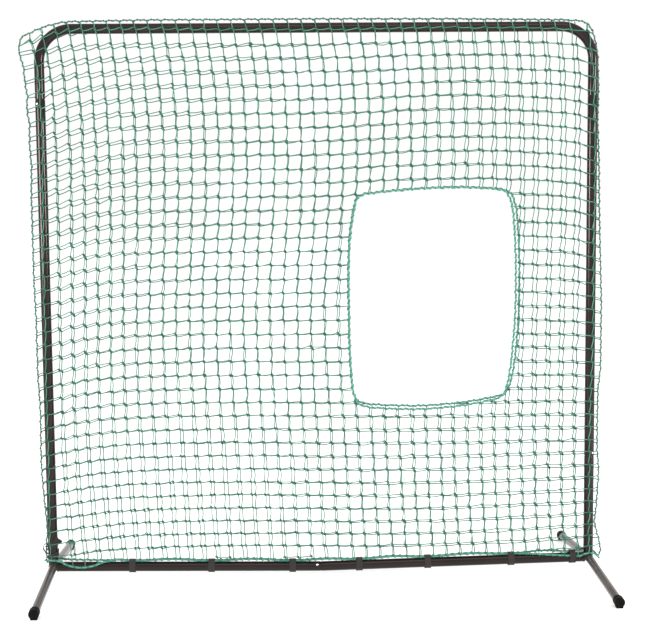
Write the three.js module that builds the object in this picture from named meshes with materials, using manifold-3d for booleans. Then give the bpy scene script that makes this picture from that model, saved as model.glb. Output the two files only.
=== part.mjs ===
// Pitching target net: a knock-down steel tube frame, 7 ft square, standing on two
// front-to-back feet, with a double-layer knotted net sleeve that has a pitching hole.
// Millimetres, +Z up, +X to the pitcher's right, front of the net towards -Y.

import * as THREE from 'three';
import { mergeVertices } from 'three/addons/utils/BufferGeometryUtils.js';
import Module from 'manifold-3d';

const wasm = await Module();
wasm.setup();

// ---------- driving dimensions (mm) ----------
const FRAME_W = 2134;          // outside width over the posts, 7 ft
const FRAME_H = 2134;          // floor to the top of the top tube, 7 ft
const TUBE_R = 19.05;          // 1 1/2 in frame tube
const WALL = 1.6;              // tube wall
const SWAGE_R = 17.1;          // reduced tube end that plugs into the next tube
const SWAGE_LEN = 58;          // how far it goes in
const BEND_R = 123;            // centre-line radius of the two top corners
const FOOT_R = 15.875;         // 1 1/4 in foot tube
const FOOT_WALL = 1.6;
const FOOT_SPAN = 1067;        // front to back over the caps, 42 in
const CORNER_Z = 58.5;         // height of the rail and foot centre-line at a corner
const TIP_Z = 20.3;            // height of the foot centre-line at its outer end
const FOOT_BEND_R = 220;       // gentle bend of the foot bar below the post
const RAIL_SAG = 18;           // drop of the bottom rail at its plug joint
const UPPER_JOINT_Z = 1838;    // snap button height, post to top corner tube
const LOWER_JOINT_Z = 476;     // snap button height, base upright to post
const MID_BUTTON_X = -22;      // snap button of the two middle joints
const BUTTON_EDGE = 14;        // button centre to the end of the outer tube
const BUTTON_R = 4.6;
const BUTTON_HOLE_R = 5.1;
const BUTTON_TILT = 30;        // degrees between the button and the frame's normal
const SPRING_W = 11;           // width of the spring strip
const SPRING_T = 0.8;
const CAP_R = 19.4;            // slip-on foot cap
const CAP_LEN = 36;
const CAP_END = 4;
const CAP_SOLE_W = 24;         // flat sole under each cap
const NET_HALF_W = 1084;       // half width of a net layer
const NET_TOP = 2141;
const NET_BOTTOM = 98;
const NET_IN = 21.2;           // inner face of a net layer, from the frame's mid plane
const NET_T = 2;               // thickness that stands for the net layer
const ROPE_R = 4;              // binding and border rope
const STRAP_W = 25;
const STRAP_T = 2;
const STRAP_X = [-742, -434, -118, 144, 412, 740, 985];
const POST_STRAP_Z = 150;
const GAP = 0.3;
const SIDES = 28;

const POST_X = FRAME_W / 2 - TUBE_R;
const TOP_Z = FRAME_H - TUBE_R;
const V = (x, y, z) => new THREE.Vector3(x, y, z);

// ---------- materials ----------
const paint = new THREE.MeshStandardMaterial({ name: 'frame_paint', color: 0x1d1b1a, roughness: 0.36, metalness: 0.0 });
const zinc = new THREE.MeshStandardMaterial({ name: 'zinc_plate', color: 0xc9cacb, roughness: 0.28, metalness: 1.0 });
const spring = new THREE.MeshStandardMaterial({ name: 'spring_steel', color: 0x8d8f92, roughness: 0.4, metalness: 1.0 });
const rubber = new THREE.MeshStandardMaterial({ name: 'cap_rubber', color: 0x141414, roughness: 0.72, metalness: 0.0 });
const twine = new THREE.MeshStandardMaterial({ name: 'net_twine', color: 0x2b8567, roughness: 0.85, metalness: 0.0 });
const ropeMat = new THREE.MeshStandardMaterial({ name: 'rope', color: 0x379c79, roughness: 0.82, metalness: 0.0 });
const webbing = new THREE.MeshStandardMaterial({ name: 'strap_webbing', color: 0x1a181a, roughness: 0.9, metalness: 0.0 });

// ---------- solids and booleans ----------
function toSolid(geometry) {
  let g = geometry.clone();
  g.deleteAttribute('normal');
  g.deleteAttribute('uv');
  g = mergeVertices(g, 1e-4);
  const m = new wasm.Mesh({
    numProp: 3,
    vertProperties: new Float32Array(g.attributes.position.array),
    triVerts: new Uint32Array(g.index.array),
  });
  return new wasm.Manifold(m);
}

function toGeometry(solid) {
  const m = solid.getMesh();
  const n = m.vertProperties.length / m.numProp;
  const pos = new Float32Array(n * 3);
  for (let i = 0; i < n; i++) {
    for (let k = 0; k < 3; k++) pos[i * 3 + k] = m.vertProperties[i * m.numProp + k];
  }
  const g = new THREE.BufferGeometry();
  g.setAttribute('position', new THREE.BufferAttribute(pos, 3));
  g.setIndex(new THREE.BufferAttribute(new Uint32Array(m.triVerts), 1));
  g.computeVertexNormals();
  return g;
}

function combine(base, { add = [], cut = [] }) {
  let s = toSolid(base);
  for (const a of add) s = s.add(toSolid(a));
  for (const c of cut) s = s.subtract(toSolid(c));
  return toGeometry(s);
}

// A path given by its own stations, so that straight runs cost one step.
class StationPath extends THREE.Curve {
  constructor(points, tangents) {
    super();
    this.points = points;
    this.tangents = tangents;
  }
  getPoint(t, target = new THREE.Vector3()) {
    return target.copy(this.points[Math.round(t * (this.points.length - 1))]);
  }
  getPointAt(u, target) { return this.getPoint(u, target); }
  getTangentAt(u, target = new THREE.Vector3()) {
    return target.copy(this.tangents[Math.round(u * (this.tangents.length - 1))]).normalize();
  }
  getTangent(t, target) { return this.getTangentAt(t, target); }
}

function ringShape(outer, inner, sides = SIDES) {
  const s = new THREE.Shape();
  for (let i = 0; i < sides; i++) {
    const a = (i / sides) * 2 * Math.PI;
    const x = outer * Math.cos(a), y = outer * Math.sin(a);
    if (i === 0) s.moveTo(x, y); else s.lineTo(x, y);
  }
  s.closePath();
  if (inner > 0) {
    const h = new THREE.Path();
    for (let i = 0; i < sides; i++) {
      const a = -(i / sides) * 2 * Math.PI;
      const x = inner * Math.cos(a), y = inner * Math.sin(a);
      if (i === 0) h.moveTo(x, y); else h.lineTo(x, y);
    }
    h.closePath();
    s.holes.push(h);
  }
  return s;
}

function sweep(shape, path, steps) {
  return new THREE.ExtrudeGeometry(shape, { steps, bevelEnabled: false, curveSegments: 1, extrudePath: path });
}

// Straight tube from a to b by lathe, with optional swaged end beyond b.
// It is made along +Z and then turned, with its facets at the same angles on every tube.
function alongAxis(geometry, origin, direction) {
  const d = direction.clone().normalize();
  const q = new THREE.Quaternion();
  if (Math.abs(d.z) > 0.999999) {
    if (d.z < 0) q.setFromAxisAngle(V(1, 0, 0), Math.PI);
  } else {
    q.setFromUnitVectors(V(0, 0, 1), d);
  }
  return geometry.applyQuaternion(q).translate(origin.x, origin.y, origin.z);
}

function lathe(profile, sides = SIDES) {
  // profile is a closed list of [radius, z], given anticlockwise in (r, z)
  const pts = profile.map(([r, z]) => new THREE.Vector2(r, z));
  pts.push(pts[0].clone());
  const g = new THREE.LatheGeometry(pts, sides);
  g.rotateX(Math.PI / 2);
  return g;
}

function solidOfTurn(profile, sides = SIDES) {
  // profile starts and ends on the axis
  const pts = profile.map(([r, z]) => new THREE.Vector2(r, z));
  const g = new THREE.LatheGeometry(pts, sides);
  g.rotateX(Math.PI / 2);
  return g;
}

function facingOut(geometry) {
  // turns a closed mesh the right way out when its signed volume is negative
  const g = geometry.index ? geometry.toNonIndexed() : geometry;
  const p = g.attributes.position;
  let vol = 0;
  const a = V(0, 0, 0), b = V(0, 0, 0), c = V(0, 0, 0);
  for (let i = 0; i < p.count; i += 3) {
    a.fromBufferAttribute(p, i);
    b.fromBufferAttribute(p, i + 1);
    c.fromBufferAttribute(p, i + 2);
    vol += a.dot(b.cross(c));
  }
  if (vol < 0) {
    for (let i = 0; i < p.count; i += 3) {
      a.fromBufferAttribute(p, i + 1);
      b.fromBufferAttribute(p, i + 2);
      p.setXYZ(i + 1, b.x, b.y, b.z);
      p.setXYZ(i + 2, a.x, a.y, a.z);
    }
  }
  g.computeVertexNormals();
  return g;
}

function tubeProfile(len, r = TUBE_R, wall = WALL) {
  return [[r - wall, 0], [r, 0], [r, len], [r - wall, len]];
}

// A tube whose far end is swaged down to plug into the next tube.
function swagedProfile(len) {
  const ri = TUBE_R - WALL, si = SWAGE_R - WALL;
  return [
    [ri, 0], [TUBE_R, 0], [TUBE_R, len], [SWAGE_R, len + 4.2], [SWAGE_R, len + 4.2 + SWAGE_LEN - 3],
    [SWAGE_R - 0.8, len + 4.2 + SWAGE_LEN], [si, len + 4.2 + SWAGE_LEN], [si, len + 4.2], [ri, len - 1],
  ];
}

function straightTube(a, b, r = TUBE_R, wall = WALL) {
  const d = b.clone().sub(a);
  return alongAxis(facingOut(lathe(tubeProfile(d.length(), r, wall))), a, d);
}

// The seam between two tubes lies this far past the button, and the shoulder of the
// inner tube stops just short of it.
const SHOULDER = BUTTON_EDGE + GAP;

function swagedTube(a, shoulder) {
  const d = shoulder.clone().sub(a);
  return alongAxis(facingOut(lathe(swagedProfile(d.length()))), a, d);
}

function rod(centre, dir, r, from, to, sides = 24) {
  const g = new THREE.CylinderGeometry(r, r, to - from, sides);
  g.rotateX(Math.PI / 2);
  g.translate(0, 0, (from + to) / 2);
  return alongAxis(g, centre, dir);
}

const group = new THREE.Group();
group.name = 'pitching_target_net';
const frameGroup = new THREE.Group();
frameGroup.name = 'frame';
const netGroup = new THREE.Group();
netGroup.name = 'net_sleeve';
group.add(frameGroup, netGroup);

function part(name, geometry, material, parent = frameGroup) {
  const m = new THREE.Mesh(geometry, material);
  m.name = name;
  parent.add(m);
  return m;
}

// ---------- the six plug joints ----------
// centre of the button on the tube axis, the way the inner tube runs, the way the button faces
const tilt = THREE.MathUtils.degToRad(BUTTON_TILT);
const cs = Math.cos(tilt), sn = Math.sin(tilt);
const railMid = V(MID_BUTTON_X + BUTTON_EDGE, 0, CORNER_Z - RAIL_SAG);
const railLeftEnd = V(-POST_X, 0, CORNER_Z);
const railRightEnd = V(POST_X, 0, CORNER_Z);
const railLeftDir = railMid.clone().sub(railLeftEnd).normalize();
const railRightDir = railMid.clone().sub(railRightEnd).normalize();
const railNormal = V(0, -cs, sn);
railNormal.sub(railLeftDir.clone().multiplyScalar(railNormal.dot(railLeftDir))).normalize();

const joints = {
  left_upper: { c: V(-POST_X, 0, UPPER_JOINT_Z), a: V(0, 0, 1), r: V(-sn, -cs, 0) },
  right_upper: { c: V(POST_X, 0, UPPER_JOINT_Z), a: V(0, 0, 1), r: V(sn, cs, 0) },
  left_lower: { c: V(-POST_X, 0, LOWER_JOINT_Z), a: V(0, 0, -1), r: V(-sn, cs, 0) },
  right_lower: { c: V(POST_X, 0, LOWER_JOINT_Z), a: V(0, 0, -1), r: V(sn, -cs, 0) },
  top_middle: { c: V(MID_BUTTON_X, 0, TOP_Z), a: V(1, 0, 0), r: V(0, cs, sn) },
  rail_middle: { c: railMid.clone().sub(railLeftDir.clone().multiplyScalar(BUTTON_EDGE)), a: railLeftDir.clone(), r: railNormal },
};
const buttonHole = (j) => rod(j.c, j.r, BUTTON_HOLE_R, 8, TUBE_R + 6);
const seam = (j) => j.c.clone().add(j.a.clone().multiplyScalar(BUTTON_EDGE));
const shoulder = (j) => j.c.clone().add(j.a.clone().multiplyScalar(SHOULDER + 4.2));

// ---------- top corner tubes ----------
function cornerPath(side, fromX, toZ) {
  // along the top from the middle, round the bend and down the post line
  const pts = [V(fromX, 0, TOP_Z)], tan = [V(side, 0, 0)];
  const cx = side * (POST_X - BEND_R), cz = TOP_Z - BEND_R;
  const steps = 10;
  for (let i = 0; i <= steps; i++) {
    const a = (i / steps) * Math.PI / 2;
    pts.push(V(cx + side * BEND_R * Math.sin(a), 0, cz + BEND_R * Math.cos(a)));
    tan.push(V(side * Math.cos(a), 0, -Math.sin(a)));
  }
  pts.push(V(side * POST_X, 0, toZ));
  tan.push(V(0, 0, -1));
  return new StationPath(pts, tan);
}

function cornerTube(side) {
  const lower = side < 0 ? joints.left_upper : joints.right_upper;
  const top = joints.top_middle;
  const zShoulder = shoulder(lower).z;
  const overlapZ = zShoulder + 30;
  const xTop = side < 0 ? seam(top).x : shoulder(top).x + 30;
  const path = cornerPath(side, xTop, overlapZ);
  const base = facingOut(sweep(ringShape(TUBE_R, TUBE_R - WALL), path, path.points.length - 1));
  const add = [swagedTube(V(side * POST_X, 0, overlapZ), V(side * POST_X, 0, zShoulder))];
  if (side > 0) add.push(swagedTube(V(xTop, 0, TOP_Z), V(shoulder(top).x, 0, TOP_Z)));
  return combine(base, { add, cut: [buttonHole(lower), buttonHole(top)] });
}
part('top_tube_left', cornerTube(-1), paint);
part('top_tube_right', cornerTube(1), paint);

// ---------- posts ----------
function post(side) {
  const up = side < 0 ? joints.left_upper : joints.right_upper;
  const low = side < 0 ? joints.left_lower : joints.right_lower;
  return combine(straightTube(seam(low), seam(up)), { cut: [buttonHole(up), buttonHole(low)] });
}
part('post_left', post(-1), paint);
part('post_right', post(1), paint);

// ---------- foot bars: one bent tube each ----------
const capOuterY = FOOT_SPAN / 2;
const footSlope = Math.atan((CORNER_Z - TIP_Z) / capOuterY);
const tubeEndY = capOuterY - CAP_END;

function footPath(x) {
  const pts = [], tan = [];
  const t = FOOT_BEND_R * Math.tan(footSlope);            // where the bend starts, along the foot
  const at = (s) => V(x, s, CORNER_Z - Math.abs(s) * Math.tan(footSlope));
  pts.push(at(-tubeEndY)); tan.push(V(0, Math.cos(footSlope), Math.sin(footSlope)));
  const n = 6;
  const start = -t * Math.cos(footSlope);
  const zc = at(start).z - FOOT_BEND_R * Math.cos(footSlope);
  for (let i = 0; i <= n; i++) {
    const a = footSlope * (1 - (2 * i) / n);
    pts.push(V(x, -FOOT_BEND_R * Math.sin(a), zc + FOOT_BEND_R * Math.cos(a)));
    tan.push(V(0, Math.cos(a), Math.sin(a)));
  }
  pts.push(at(tubeEndY)); tan.push(V(0, Math.cos(footSlope), -Math.sin(footSlope)));
  return new StationPath(pts, tan);
}

function footBar(side, inner = FOOT_R - FOOT_WALL, outer = FOOT_R) {
  const path = footPath(side * POST_X);
  return facingOut(sweep(ringShape(outer, inner), path, path.points.length - 1));
}
part('foot_bar_left', footBar(-1), paint);
part('foot_bar_right', footBar(1), paint);

// ---------- base uprights, coped over the foot bar ----------
function upright(side) {
  const j = side < 0 ? joints.left_lower : joints.right_lower;
  const foot = V(side * POST_X, 0, CORNER_Z);
  const base = swagedTube(foot, shoulder(j));
  return combine(base, { cut: [footBar(side, 0, FOOT_R + GAP), buttonHole(j)] });
}
part('base_upright_left', upright(-1), paint);
part('base_upright_right', upright(1), paint);

// ---------- bottom rail halves, coped against the foot bar and the upright ----------
function corner(side) {
  return [
    footBar(side, 0, FOOT_R + GAP),
    rod(V(side * POST_X, 0, CORNER_Z), V(0, 0, 1), TUBE_R + GAP, -40, 200, 48),
  ];
}
const rj = joints.rail_middle;
part('bottom_rail_left', combine(straightTube(railLeftEnd.clone().add(railLeftDir.clone().multiplyScalar(4)), seam(rj)),
  { cut: [...corner(-1), buttonHole(rj)] }), paint);

function rightRail() {
  // the plug end lies along the left half's axis and the rest runs up to the corner
  const start = shoulder(rj);
  const end = railRightEnd.clone().add(railRightDir.clone().multiplyScalar(4));
  const len = end.distanceTo(start);
  const far = start.clone().add(rj.a.clone().multiplyScalar(len));
  const shift = end.clone().sub(far);
  const g = swagedTube(far, start);
  const p = g.attributes.position;
  const v = V(0, 0, 0);
  for (let i = 0; i < p.count; i++) {
    v.fromBufferAttribute(p, i);
    if (v.clone().sub(start).dot(rj.a) > len - 0.5) {
      v.add(shift);
      p.setXYZ(i, v.x, v.y, v.z);
    }
  }
  return combine(g, { cut: [...corner(1), buttonHole(rj)] });
}
part('bottom_rail_right', rightRail(), paint);

// ---------- foot caps: slip-on, with a flat sole ----------
function footCap(side, end) {
  const x = side * POST_X;
  const tan = (CORNER_Z - TIP_Z) / capOuterY;
  const dir = V(0, end * Math.cos(footSlope), -Math.sin(footSlope));
  const tip = V(x, end * capOuterY, TIP_Z);
  const body = alongAxis(facingOut(solidOfTurn([[0, 0], [CAP_R - 2.5, 0], [CAP_R - 0.7, -0.8], [CAP_R, -2.6], [CAP_R, -CAP_LEN + 1], [CAP_R - 0.8, -CAP_LEN], [0, -CAP_LEN]], 28)), tip, dir);
  const len = CAP_LEN - 3;
  const sole = new THREE.BoxGeometry(CAP_SOLE_W, len, 16);
  sole.translate(x, end * (capOuterY - 1.6 - len / 2), 8);
  const below = new THREE.BoxGeometry(80, 120, 40);
  below.translate(x, end * capOuterY, -20);
  const bore = alongAxis(facingOut(solidOfTurn([[0, -CAP_END + 0.1], [FOOT_R + GAP, -CAP_END + 0.1], [FOOT_R + GAP, -CAP_LEN - 30], [0, -CAP_LEN - 30]], 28)), tip, dir);
  return combine(body, { add: [sole], cut: [below, bore] });
}
part('foot_cap_left_front', footCap(-1, -1), rubber);
part('foot_cap_left_back', footCap(-1, 1), rubber);
part('foot_cap_right_front', footCap(1, -1), rubber);
part('foot_cap_right_back', footCap(1, 1), rubber);

// ---------- snap buttons and their springs ----------
// A strip is drawn in (s, q): s runs into the inner tube, q points the way the button faces.
function strip(points) {
  const h = SPRING_T / 2;
  const up = [], down = [];
  for (let i = 0; i < points.length; i++) {
    const a = points[Math.max(0, i - 1)], b = points[Math.min(points.length - 1, i + 1)];
    const dx = b[0] - a[0], dy = b[1] - a[1], l = Math.hypot(dx, dy);
    up.push([points[i][0] - (dy / l) * h, points[i][1] + (dx / l) * h]);
    down.push([points[i][0] + (dy / l) * h, points[i][1] - (dx / l) * h]);
  }
  const s = new THREE.Shape();
  [...up, ...down.reverse()].forEach(([x, y], i) => (i ? s.lineTo(x, y) : s.moveTo(x, y)));
  s.closePath();
  const g = new THREE.ExtrudeGeometry(s, { steps: 1, depth: SPRING_W, bevelEnabled: false });
  g.translate(0, 0, -SPRING_W / 2);
  return g;
}

function intoJoint(geometry, j) {
  const third = j.a.clone().cross(j.r).normalize();
  const m = new THREE.Matrix4().makeBasis(j.a, j.r, third);
  m.setPosition(j.c);
  return geometry.applyMatrix4(m);
}

const PAD_Q = 13.3, BACK_Q = -13.6, APEX_S = 42, APEX_R = 2.2, SPLIT_S = 20;
const legQ = (s) => PAD_Q + ((s - 6) / (APEX_S - 6)) * (APEX_R - PAD_Q);
for (const [name, j] of Object.entries(joints)) {
  const leg = strip([[-7, PAD_Q], [-2, PAD_Q], [2, PAD_Q], [6, PAD_Q], [SPLIT_S - 0.3, legQ(SPLIT_S - 0.3)]]);
  const pin = solidOfTurn([[0, PAD_Q - 0.2], [BUTTON_R, PAD_Q - 0.2], [BUTTON_R, TUBE_R + 1.7], [BUTTON_R - 0.5, TUBE_R + 2.6], [BUTTON_R - 1.8, TUBE_R + 3.2], [0, TUBE_R + 3.4]], 20);
  pin.rotateX(-Math.PI / 2);
  part(`snap_button_${name}`, intoJoint(combine(leg, { add: [facingOut(pin)] }), j), zinc);
  const turn = [];
  for (let i = 1; i < 6; i++) {
    const a = Math.PI / 2 - (i / 6) * Math.PI;
    turn.push([APEX_S + APEX_R * Math.cos(a), APEX_R * Math.sin(a)]);
  }
  const heel = strip([[SPLIT_S + 0.3, legQ(SPLIT_S + 0.3)], [APEX_S, APEX_R], ...turn, [APEX_S, -APEX_R], [6, BACK_Q], [-7, BACK_Q]]);
  part(`button_spring_${name}`, facingOut(intoJoint(heel, j)), spring);
}

// ---------- net sleeve ----------
// Outline of the pitching hole, as the binding rope runs round it: [x, z].
const HOLE_FRONT = [
  [145, 1474], [126, 1400], [115, 1319], [110, 1212], [109, 1120], [110, 1039], [112, 889], [117, 800], [125, 722],
  [139, 688], [170, 672], [227, 665], [300, 661], [359, 659], [448, 662], [561, 673], [655, 690], [697, 703],
  [715, 732], [732, 810], [742, 907], [749, 1000], [752, 1078], [752, 1209], [747, 1339], [737, 1438],
  [716, 1490], [680, 1503], [625, 1508], [514, 1512], [384, 1508], [285, 1501], [197, 1492], [163, 1486],
];
const HOLE_BACK = HOLE_FRONT.map(([x, z]) => {
  const u = Math.min(1, Math.max(0, (x - 300) / 450));
  const w = Math.min(1, Math.max(0, (900 - z) / 230));
  return [x + 22 * u, z + 7 * w];
});

function holeCurve(points, y) {
  return new THREE.CatmullRomCurve3(points.map(([x, z]) => V(x, y, z)), true, 'centripetal');
}

function outlineOut(points, y, off) {
  // the rope's outline moved outwards by off, as 2-D points
  const c = holeCurve(points, y);
  const n = 110;
  const out = [];
  for (let i = 0; i < n; i++) {
    const p = c.getPointAt(i / n), t = c.getTangentAt(i / n);
    let nx = -t.z, nz = t.x;
    if (nx * (p.x - 430) + nz * (p.z - 1085) < 0) { nx = -nx; nz = -nz; }
    out.push([p.x + nx * off, p.z + nz * off]);
  }
  return out;
}

function netLayer(points, y0, y1) {
  const s = new THREE.Shape();
  s.moveTo(-NET_HALF_W, NET_BOTTOM);
  s.lineTo(NET_HALF_W, NET_BOTTOM);
  s.lineTo(NET_HALF_W, NET_TOP);
  s.lineTo(-NET_HALF_W, NET_TOP);
  s.closePath();
  const h = new THREE.Path();
  outlineOut(points, 0, ROPE_R + 1.2).forEach(([x, z], i) => (i ? h.lineTo(x, z) : h.moveTo(x, z)));
  h.closePath();
  s.holes.push(h);
  const g = new THREE.ExtrudeGeometry(s, { steps: 1, depth: y1 - y0, bevelEnabled: false });
  // the shape's y is the part's z, and the extrusion runs along -y after the turn
  g.rotateX(Math.PI / 2);
  g.translate(0, y1, 0);
  return facingOut(g);
}
const yMid = NET_IN + NET_T / 2;
part('net_front_panel', netLayer(HOLE_FRONT, -NET_IN - NET_T, -NET_IN), twine, netGroup);
part('net_back_panel', netLayer(HOLE_BACK, NET_IN, NET_IN + NET_T), twine, netGroup);

function slab(x0, x1, y0, y1, z0, z1) {
  const g = new THREE.BoxGeometry(x1 - x0, y1 - y0, z1 - z0);
  g.translate((x0 + x1) / 2, (y0 + y1) / 2, (z0 + z1) / 2);
  return g;
}
const edgeY = NET_IN + NET_T;
part('net_top_edge', slab(-NET_HALF_W - 3, NET_HALF_W + 3, -edgeY, edgeY, NET_TOP + 1, NET_TOP + 1 + NET_T), twine, netGroup);
part('net_side_edge_left', slab(-NET_HALF_W - 3, -NET_HALF_W - 1, -edgeY, edgeY, NET_BOTTOM, NET_TOP - 1), twine, netGroup);
part('net_side_edge_right', slab(NET_HALF_W + 1, NET_HALF_W + 3, -edgeY, edgeY, NET_BOTTOM, NET_TOP - 1), twine, netGroup);

part('hole_rope_front', facingOut(mergeVertices(new THREE.TubeGeometry(holeCurve(HOLE_FRONT, -yMid), 76, ROPE_R, 7, true), 1e-3)), ropeMat, netGroup);
part('hole_rope_back', facingOut(mergeVertices(new THREE.TubeGeometry(holeCurve(HOLE_BACK, yMid), 76, ROPE_R, 7, true), 1e-3)), ropeMat, netGroup);

// bottom border ropes, lying along the top of the rail between the straps
const railZ = (x) => {
  const m = railMid;
  return x < m.x
    ? CORNER_Z + (m.z - CORNER_Z) * (x + POST_X) / (m.x + POST_X)
    : CORNER_Z + (m.z - CORNER_Z) * (POST_X - x) / (POST_X - m.x);
};
const ROPE_UP = TUBE_R + 0.6 + ROPE_R;      // rope centre above the rail's centre-line
const ROPE_Y = 5.2;
const AROUND_Y = TUBE_R + ROPE_R + 1.2;      // rope centre where it passes an upright
function borderRope(front) {
  const f = front ? -1 : 1;
  const p = [];
  p.push(V(-1079, f * AROUND_Y, 90), V(-1048, f * AROUND_Y, 88), V(-1020, f * AROUND_Y, 84));
  if (front) p.push(V(-990, f * AROUND_Y, 68), V(-940, f * AROUND_Y, 58), V(-890, f * (AROUND_Y - 1), 64), V(-850, f * 16, 77));
  else p.push(V(-1000, f * 19, 83), V(-975, f * 9, 83), V(-940, f * 6, 82));
  for (const x of [-810, -755, -434, -118, -8, 144, 412, 740, 965, 1003]) p.push(V(x, f * ROPE_Y, railZ(x) + ROPE_UP));
  p.push(V(1013, f * 10, 84), V(1023, f * 18, 85), V(1034, f * (AROUND_Y - 0.6), 86), V(1048, f * AROUND_Y, 86), V(1079, f * AROUND_Y, 86));
  const c = new THREE.CatmullRomCurve3(p, false, 'centripetal');
  // more stations where the rope bends, one on each straight run
  const pts = [], tan = [];
  const last = p.length - 1;
  for (let i = 0; i < last; i++) {
    const n = p[i].distanceTo(p[i + 1]) > 90 ? 1 : 3;
    for (let k = 0; k < n; k++) {
      pts.push(c.getPoint((i + k / n) / last));
      tan.push(c.getTangent((i + k / n) / last));
    }
  }
  pts.push(c.getPoint(1));
  tan.push(c.getTangent(1));
  return facingOut(sweep(ringShape(ROPE_R, 0, 8), new StationPath(pts, tan), pts.length - 1));
}
part('bottom_rope_front', borderRope(true), ropeMat, netGroup);
part('bottom_rope_back', borderRope(false), ropeMat, netGroup);

// ---------- hook-and-loop straps ----------
function hull(circles, grow, n) {
  // outline round several circles [y, z, r], each grown by grow
  const pts = [];
  for (let i = 0; i < n; i++) {
    const a = ((i + 0.5) / n) * 2 * Math.PI;
    const cx = Math.cos(a), cz = Math.sin(a);
    let best = -Infinity, at = null;
    for (const [y, z, r] of circles) {
      const h = y * cx + z * cz + r + grow;
      if (h > best) { best = h; at = [y + (r + grow) * cx, z + (r + grow) * cz]; }
    }
    const last = pts[pts.length - 1];
    if (!last || Math.hypot(last[0] - at[0], last[1] - at[1]) > 0.05) pts.push(at);
  }
  return pts;
}

function strapRing(circles, clear, thick) {
  const s = new THREE.Shape();
  hull(circles, clear + thick, 28).forEach(([y, z], i) => (i ? s.lineTo(y, z) : s.moveTo(y, z)));
  s.closePath();
  const h = new THREE.Path();
  hull(circles, clear, 28).reverse().forEach(([y, z], i) => (i ? h.lineTo(y, z) : h.moveTo(y, z)));
  h.closePath();
  s.holes.push(h);
  const g = new THREE.ExtrudeGeometry(s, { steps: 1, depth: STRAP_W, bevelEnabled: false });
  g.translate(0, 0, -STRAP_W / 2);
  return g;
}

STRAP_X.forEach((x, i) => {
  const g = strapRing([[0, 0, TUBE_R], [-ROPE_Y, ROPE_UP, ROPE_R], [ROPE_Y, ROPE_UP, ROPE_R]], 0.7, STRAP_T);
  // the ring's (x, y, z) is the part's (y, z, x)
  g.applyMatrix4(new THREE.Matrix4().makeBasis(V(0, 1, 0), V(0, 0, 1), V(1, 0, 0)));
  const m = part(`strap_rail_${i + 1}`, facingOut(g), webbing, netGroup);
  const dir = x < railMid.x ? railLeftDir : railRightDir.clone().negate();
  m.rotation.y = -Math.atan2(dir.z, dir.x);
  m.position.set(x, 0, railZ(x));
});
{
  const g = strapRing([[0, 0, TUBE_R]], 0.35, 1.4);
  const m = part('strap_post_left', facingOut(g), webbing, netGroup);
  m.position.set(-POST_X, 0, POST_STRAP_Z);
}

export default group;
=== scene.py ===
"""Looks of the pitching target net: fine tubes, knotted twine net, laid ropes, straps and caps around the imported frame."""
import bpy
import math
import numpy as np
from mathutils import Matrix, Vector


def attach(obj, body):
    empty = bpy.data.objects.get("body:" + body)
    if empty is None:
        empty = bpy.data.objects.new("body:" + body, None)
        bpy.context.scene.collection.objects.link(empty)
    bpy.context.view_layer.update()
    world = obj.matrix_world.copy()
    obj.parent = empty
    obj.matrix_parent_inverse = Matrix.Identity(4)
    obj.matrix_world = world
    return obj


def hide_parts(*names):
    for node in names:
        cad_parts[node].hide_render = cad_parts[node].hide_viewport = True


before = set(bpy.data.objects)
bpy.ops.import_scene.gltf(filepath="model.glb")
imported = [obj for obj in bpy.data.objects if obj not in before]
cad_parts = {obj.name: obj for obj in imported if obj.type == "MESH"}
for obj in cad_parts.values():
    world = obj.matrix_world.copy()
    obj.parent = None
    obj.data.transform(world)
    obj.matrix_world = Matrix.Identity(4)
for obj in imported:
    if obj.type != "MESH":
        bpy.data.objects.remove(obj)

ROOT = "frame_and_net"
RNG = np.random.default_rng(7)
MM = 0.001

# ---------- dimensions, in mm, as in the design ----------
TUBE_R, WALL, SWAGE_R, SWAGE_LEN = 19.05, 1.6, 17.1, 58.0
BEND_R, FOOT_R, FOOT_WALL = 123.0, 15.875, 1.6
POST_X, TOP_Z, CORNER_Z, TIP_Z = 1047.95, 2114.95, 58.5, 20.3
CAP_Y, FOOT_BEND_R, RAIL_SAG = 533.5, 220.0, 18.0
UPPER_Z, LOWER_Z, MID_X, BUTTON_EDGE, GAP = 1838.0, 476.0, -22.0, 14.0, 0.3
BUTTON_R, BUTTON_HOLE_R = 4.6, 5.1
CAP_R, CAP_LEN, CAP_END = 19.4, 36.0, 4.0
ROPE_R, ROPE_Y = 4.0, 5.2
ROPE_UP = TUBE_R + 0.6 + ROPE_R
AROUND_Y = TUBE_R + ROPE_R + 1.2
STRAP_X = [-742, -434, -118, 144, 412, 740, 985]
NET_Y = 22.0


# ======================= camera, light, floor =======================
def basis(yaw, pitch, roll):
    cy, sy, cp, sp, cr, sr = math.cos(yaw), math.sin(yaw), math.cos(pitch), math.sin(pitch), math.cos(roll), math.sin(roll)
    f = np.array([sy * cp, cy * cp, sp])
    r = np.array([cy, -sy, 0.0])
    u = np.cross(r, f)
    return cr * r + sr * u, -sr * r + cr * u, f


CAM = np.array([-0.2262, -5.7361, 1.5157])
r_, u_, f_ = basis(0.0391, -0.1075, -0.0093)
cam_data = bpy.data.cameras.new("camera")
cam = bpy.data.objects.new("camera", cam_data)
bpy.context.scene.collection.objects.link(cam)
m = Matrix.Identity(4)
for k in range(3):
    m[k][0], m[k][1], m[k][2], m[k][3] = r_[k], u_[k], -f_[k], CAM[k]
cam.matrix_world = m
cam_data.sensor_fit = "HORIZONTAL"
cam_data.sensor_width = 36.0
cam_data.lens = 1496.13 * 36.0 / 650.0
cam_data.shift_x = 4.79 / 650.0
cam_data.shift_y = 36.43 / 650.0
cam_data.clip_end = 200.0
bpy.context.scene.camera = cam
bpy.context.scene.view_settings.view_transform = "Standard"

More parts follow.
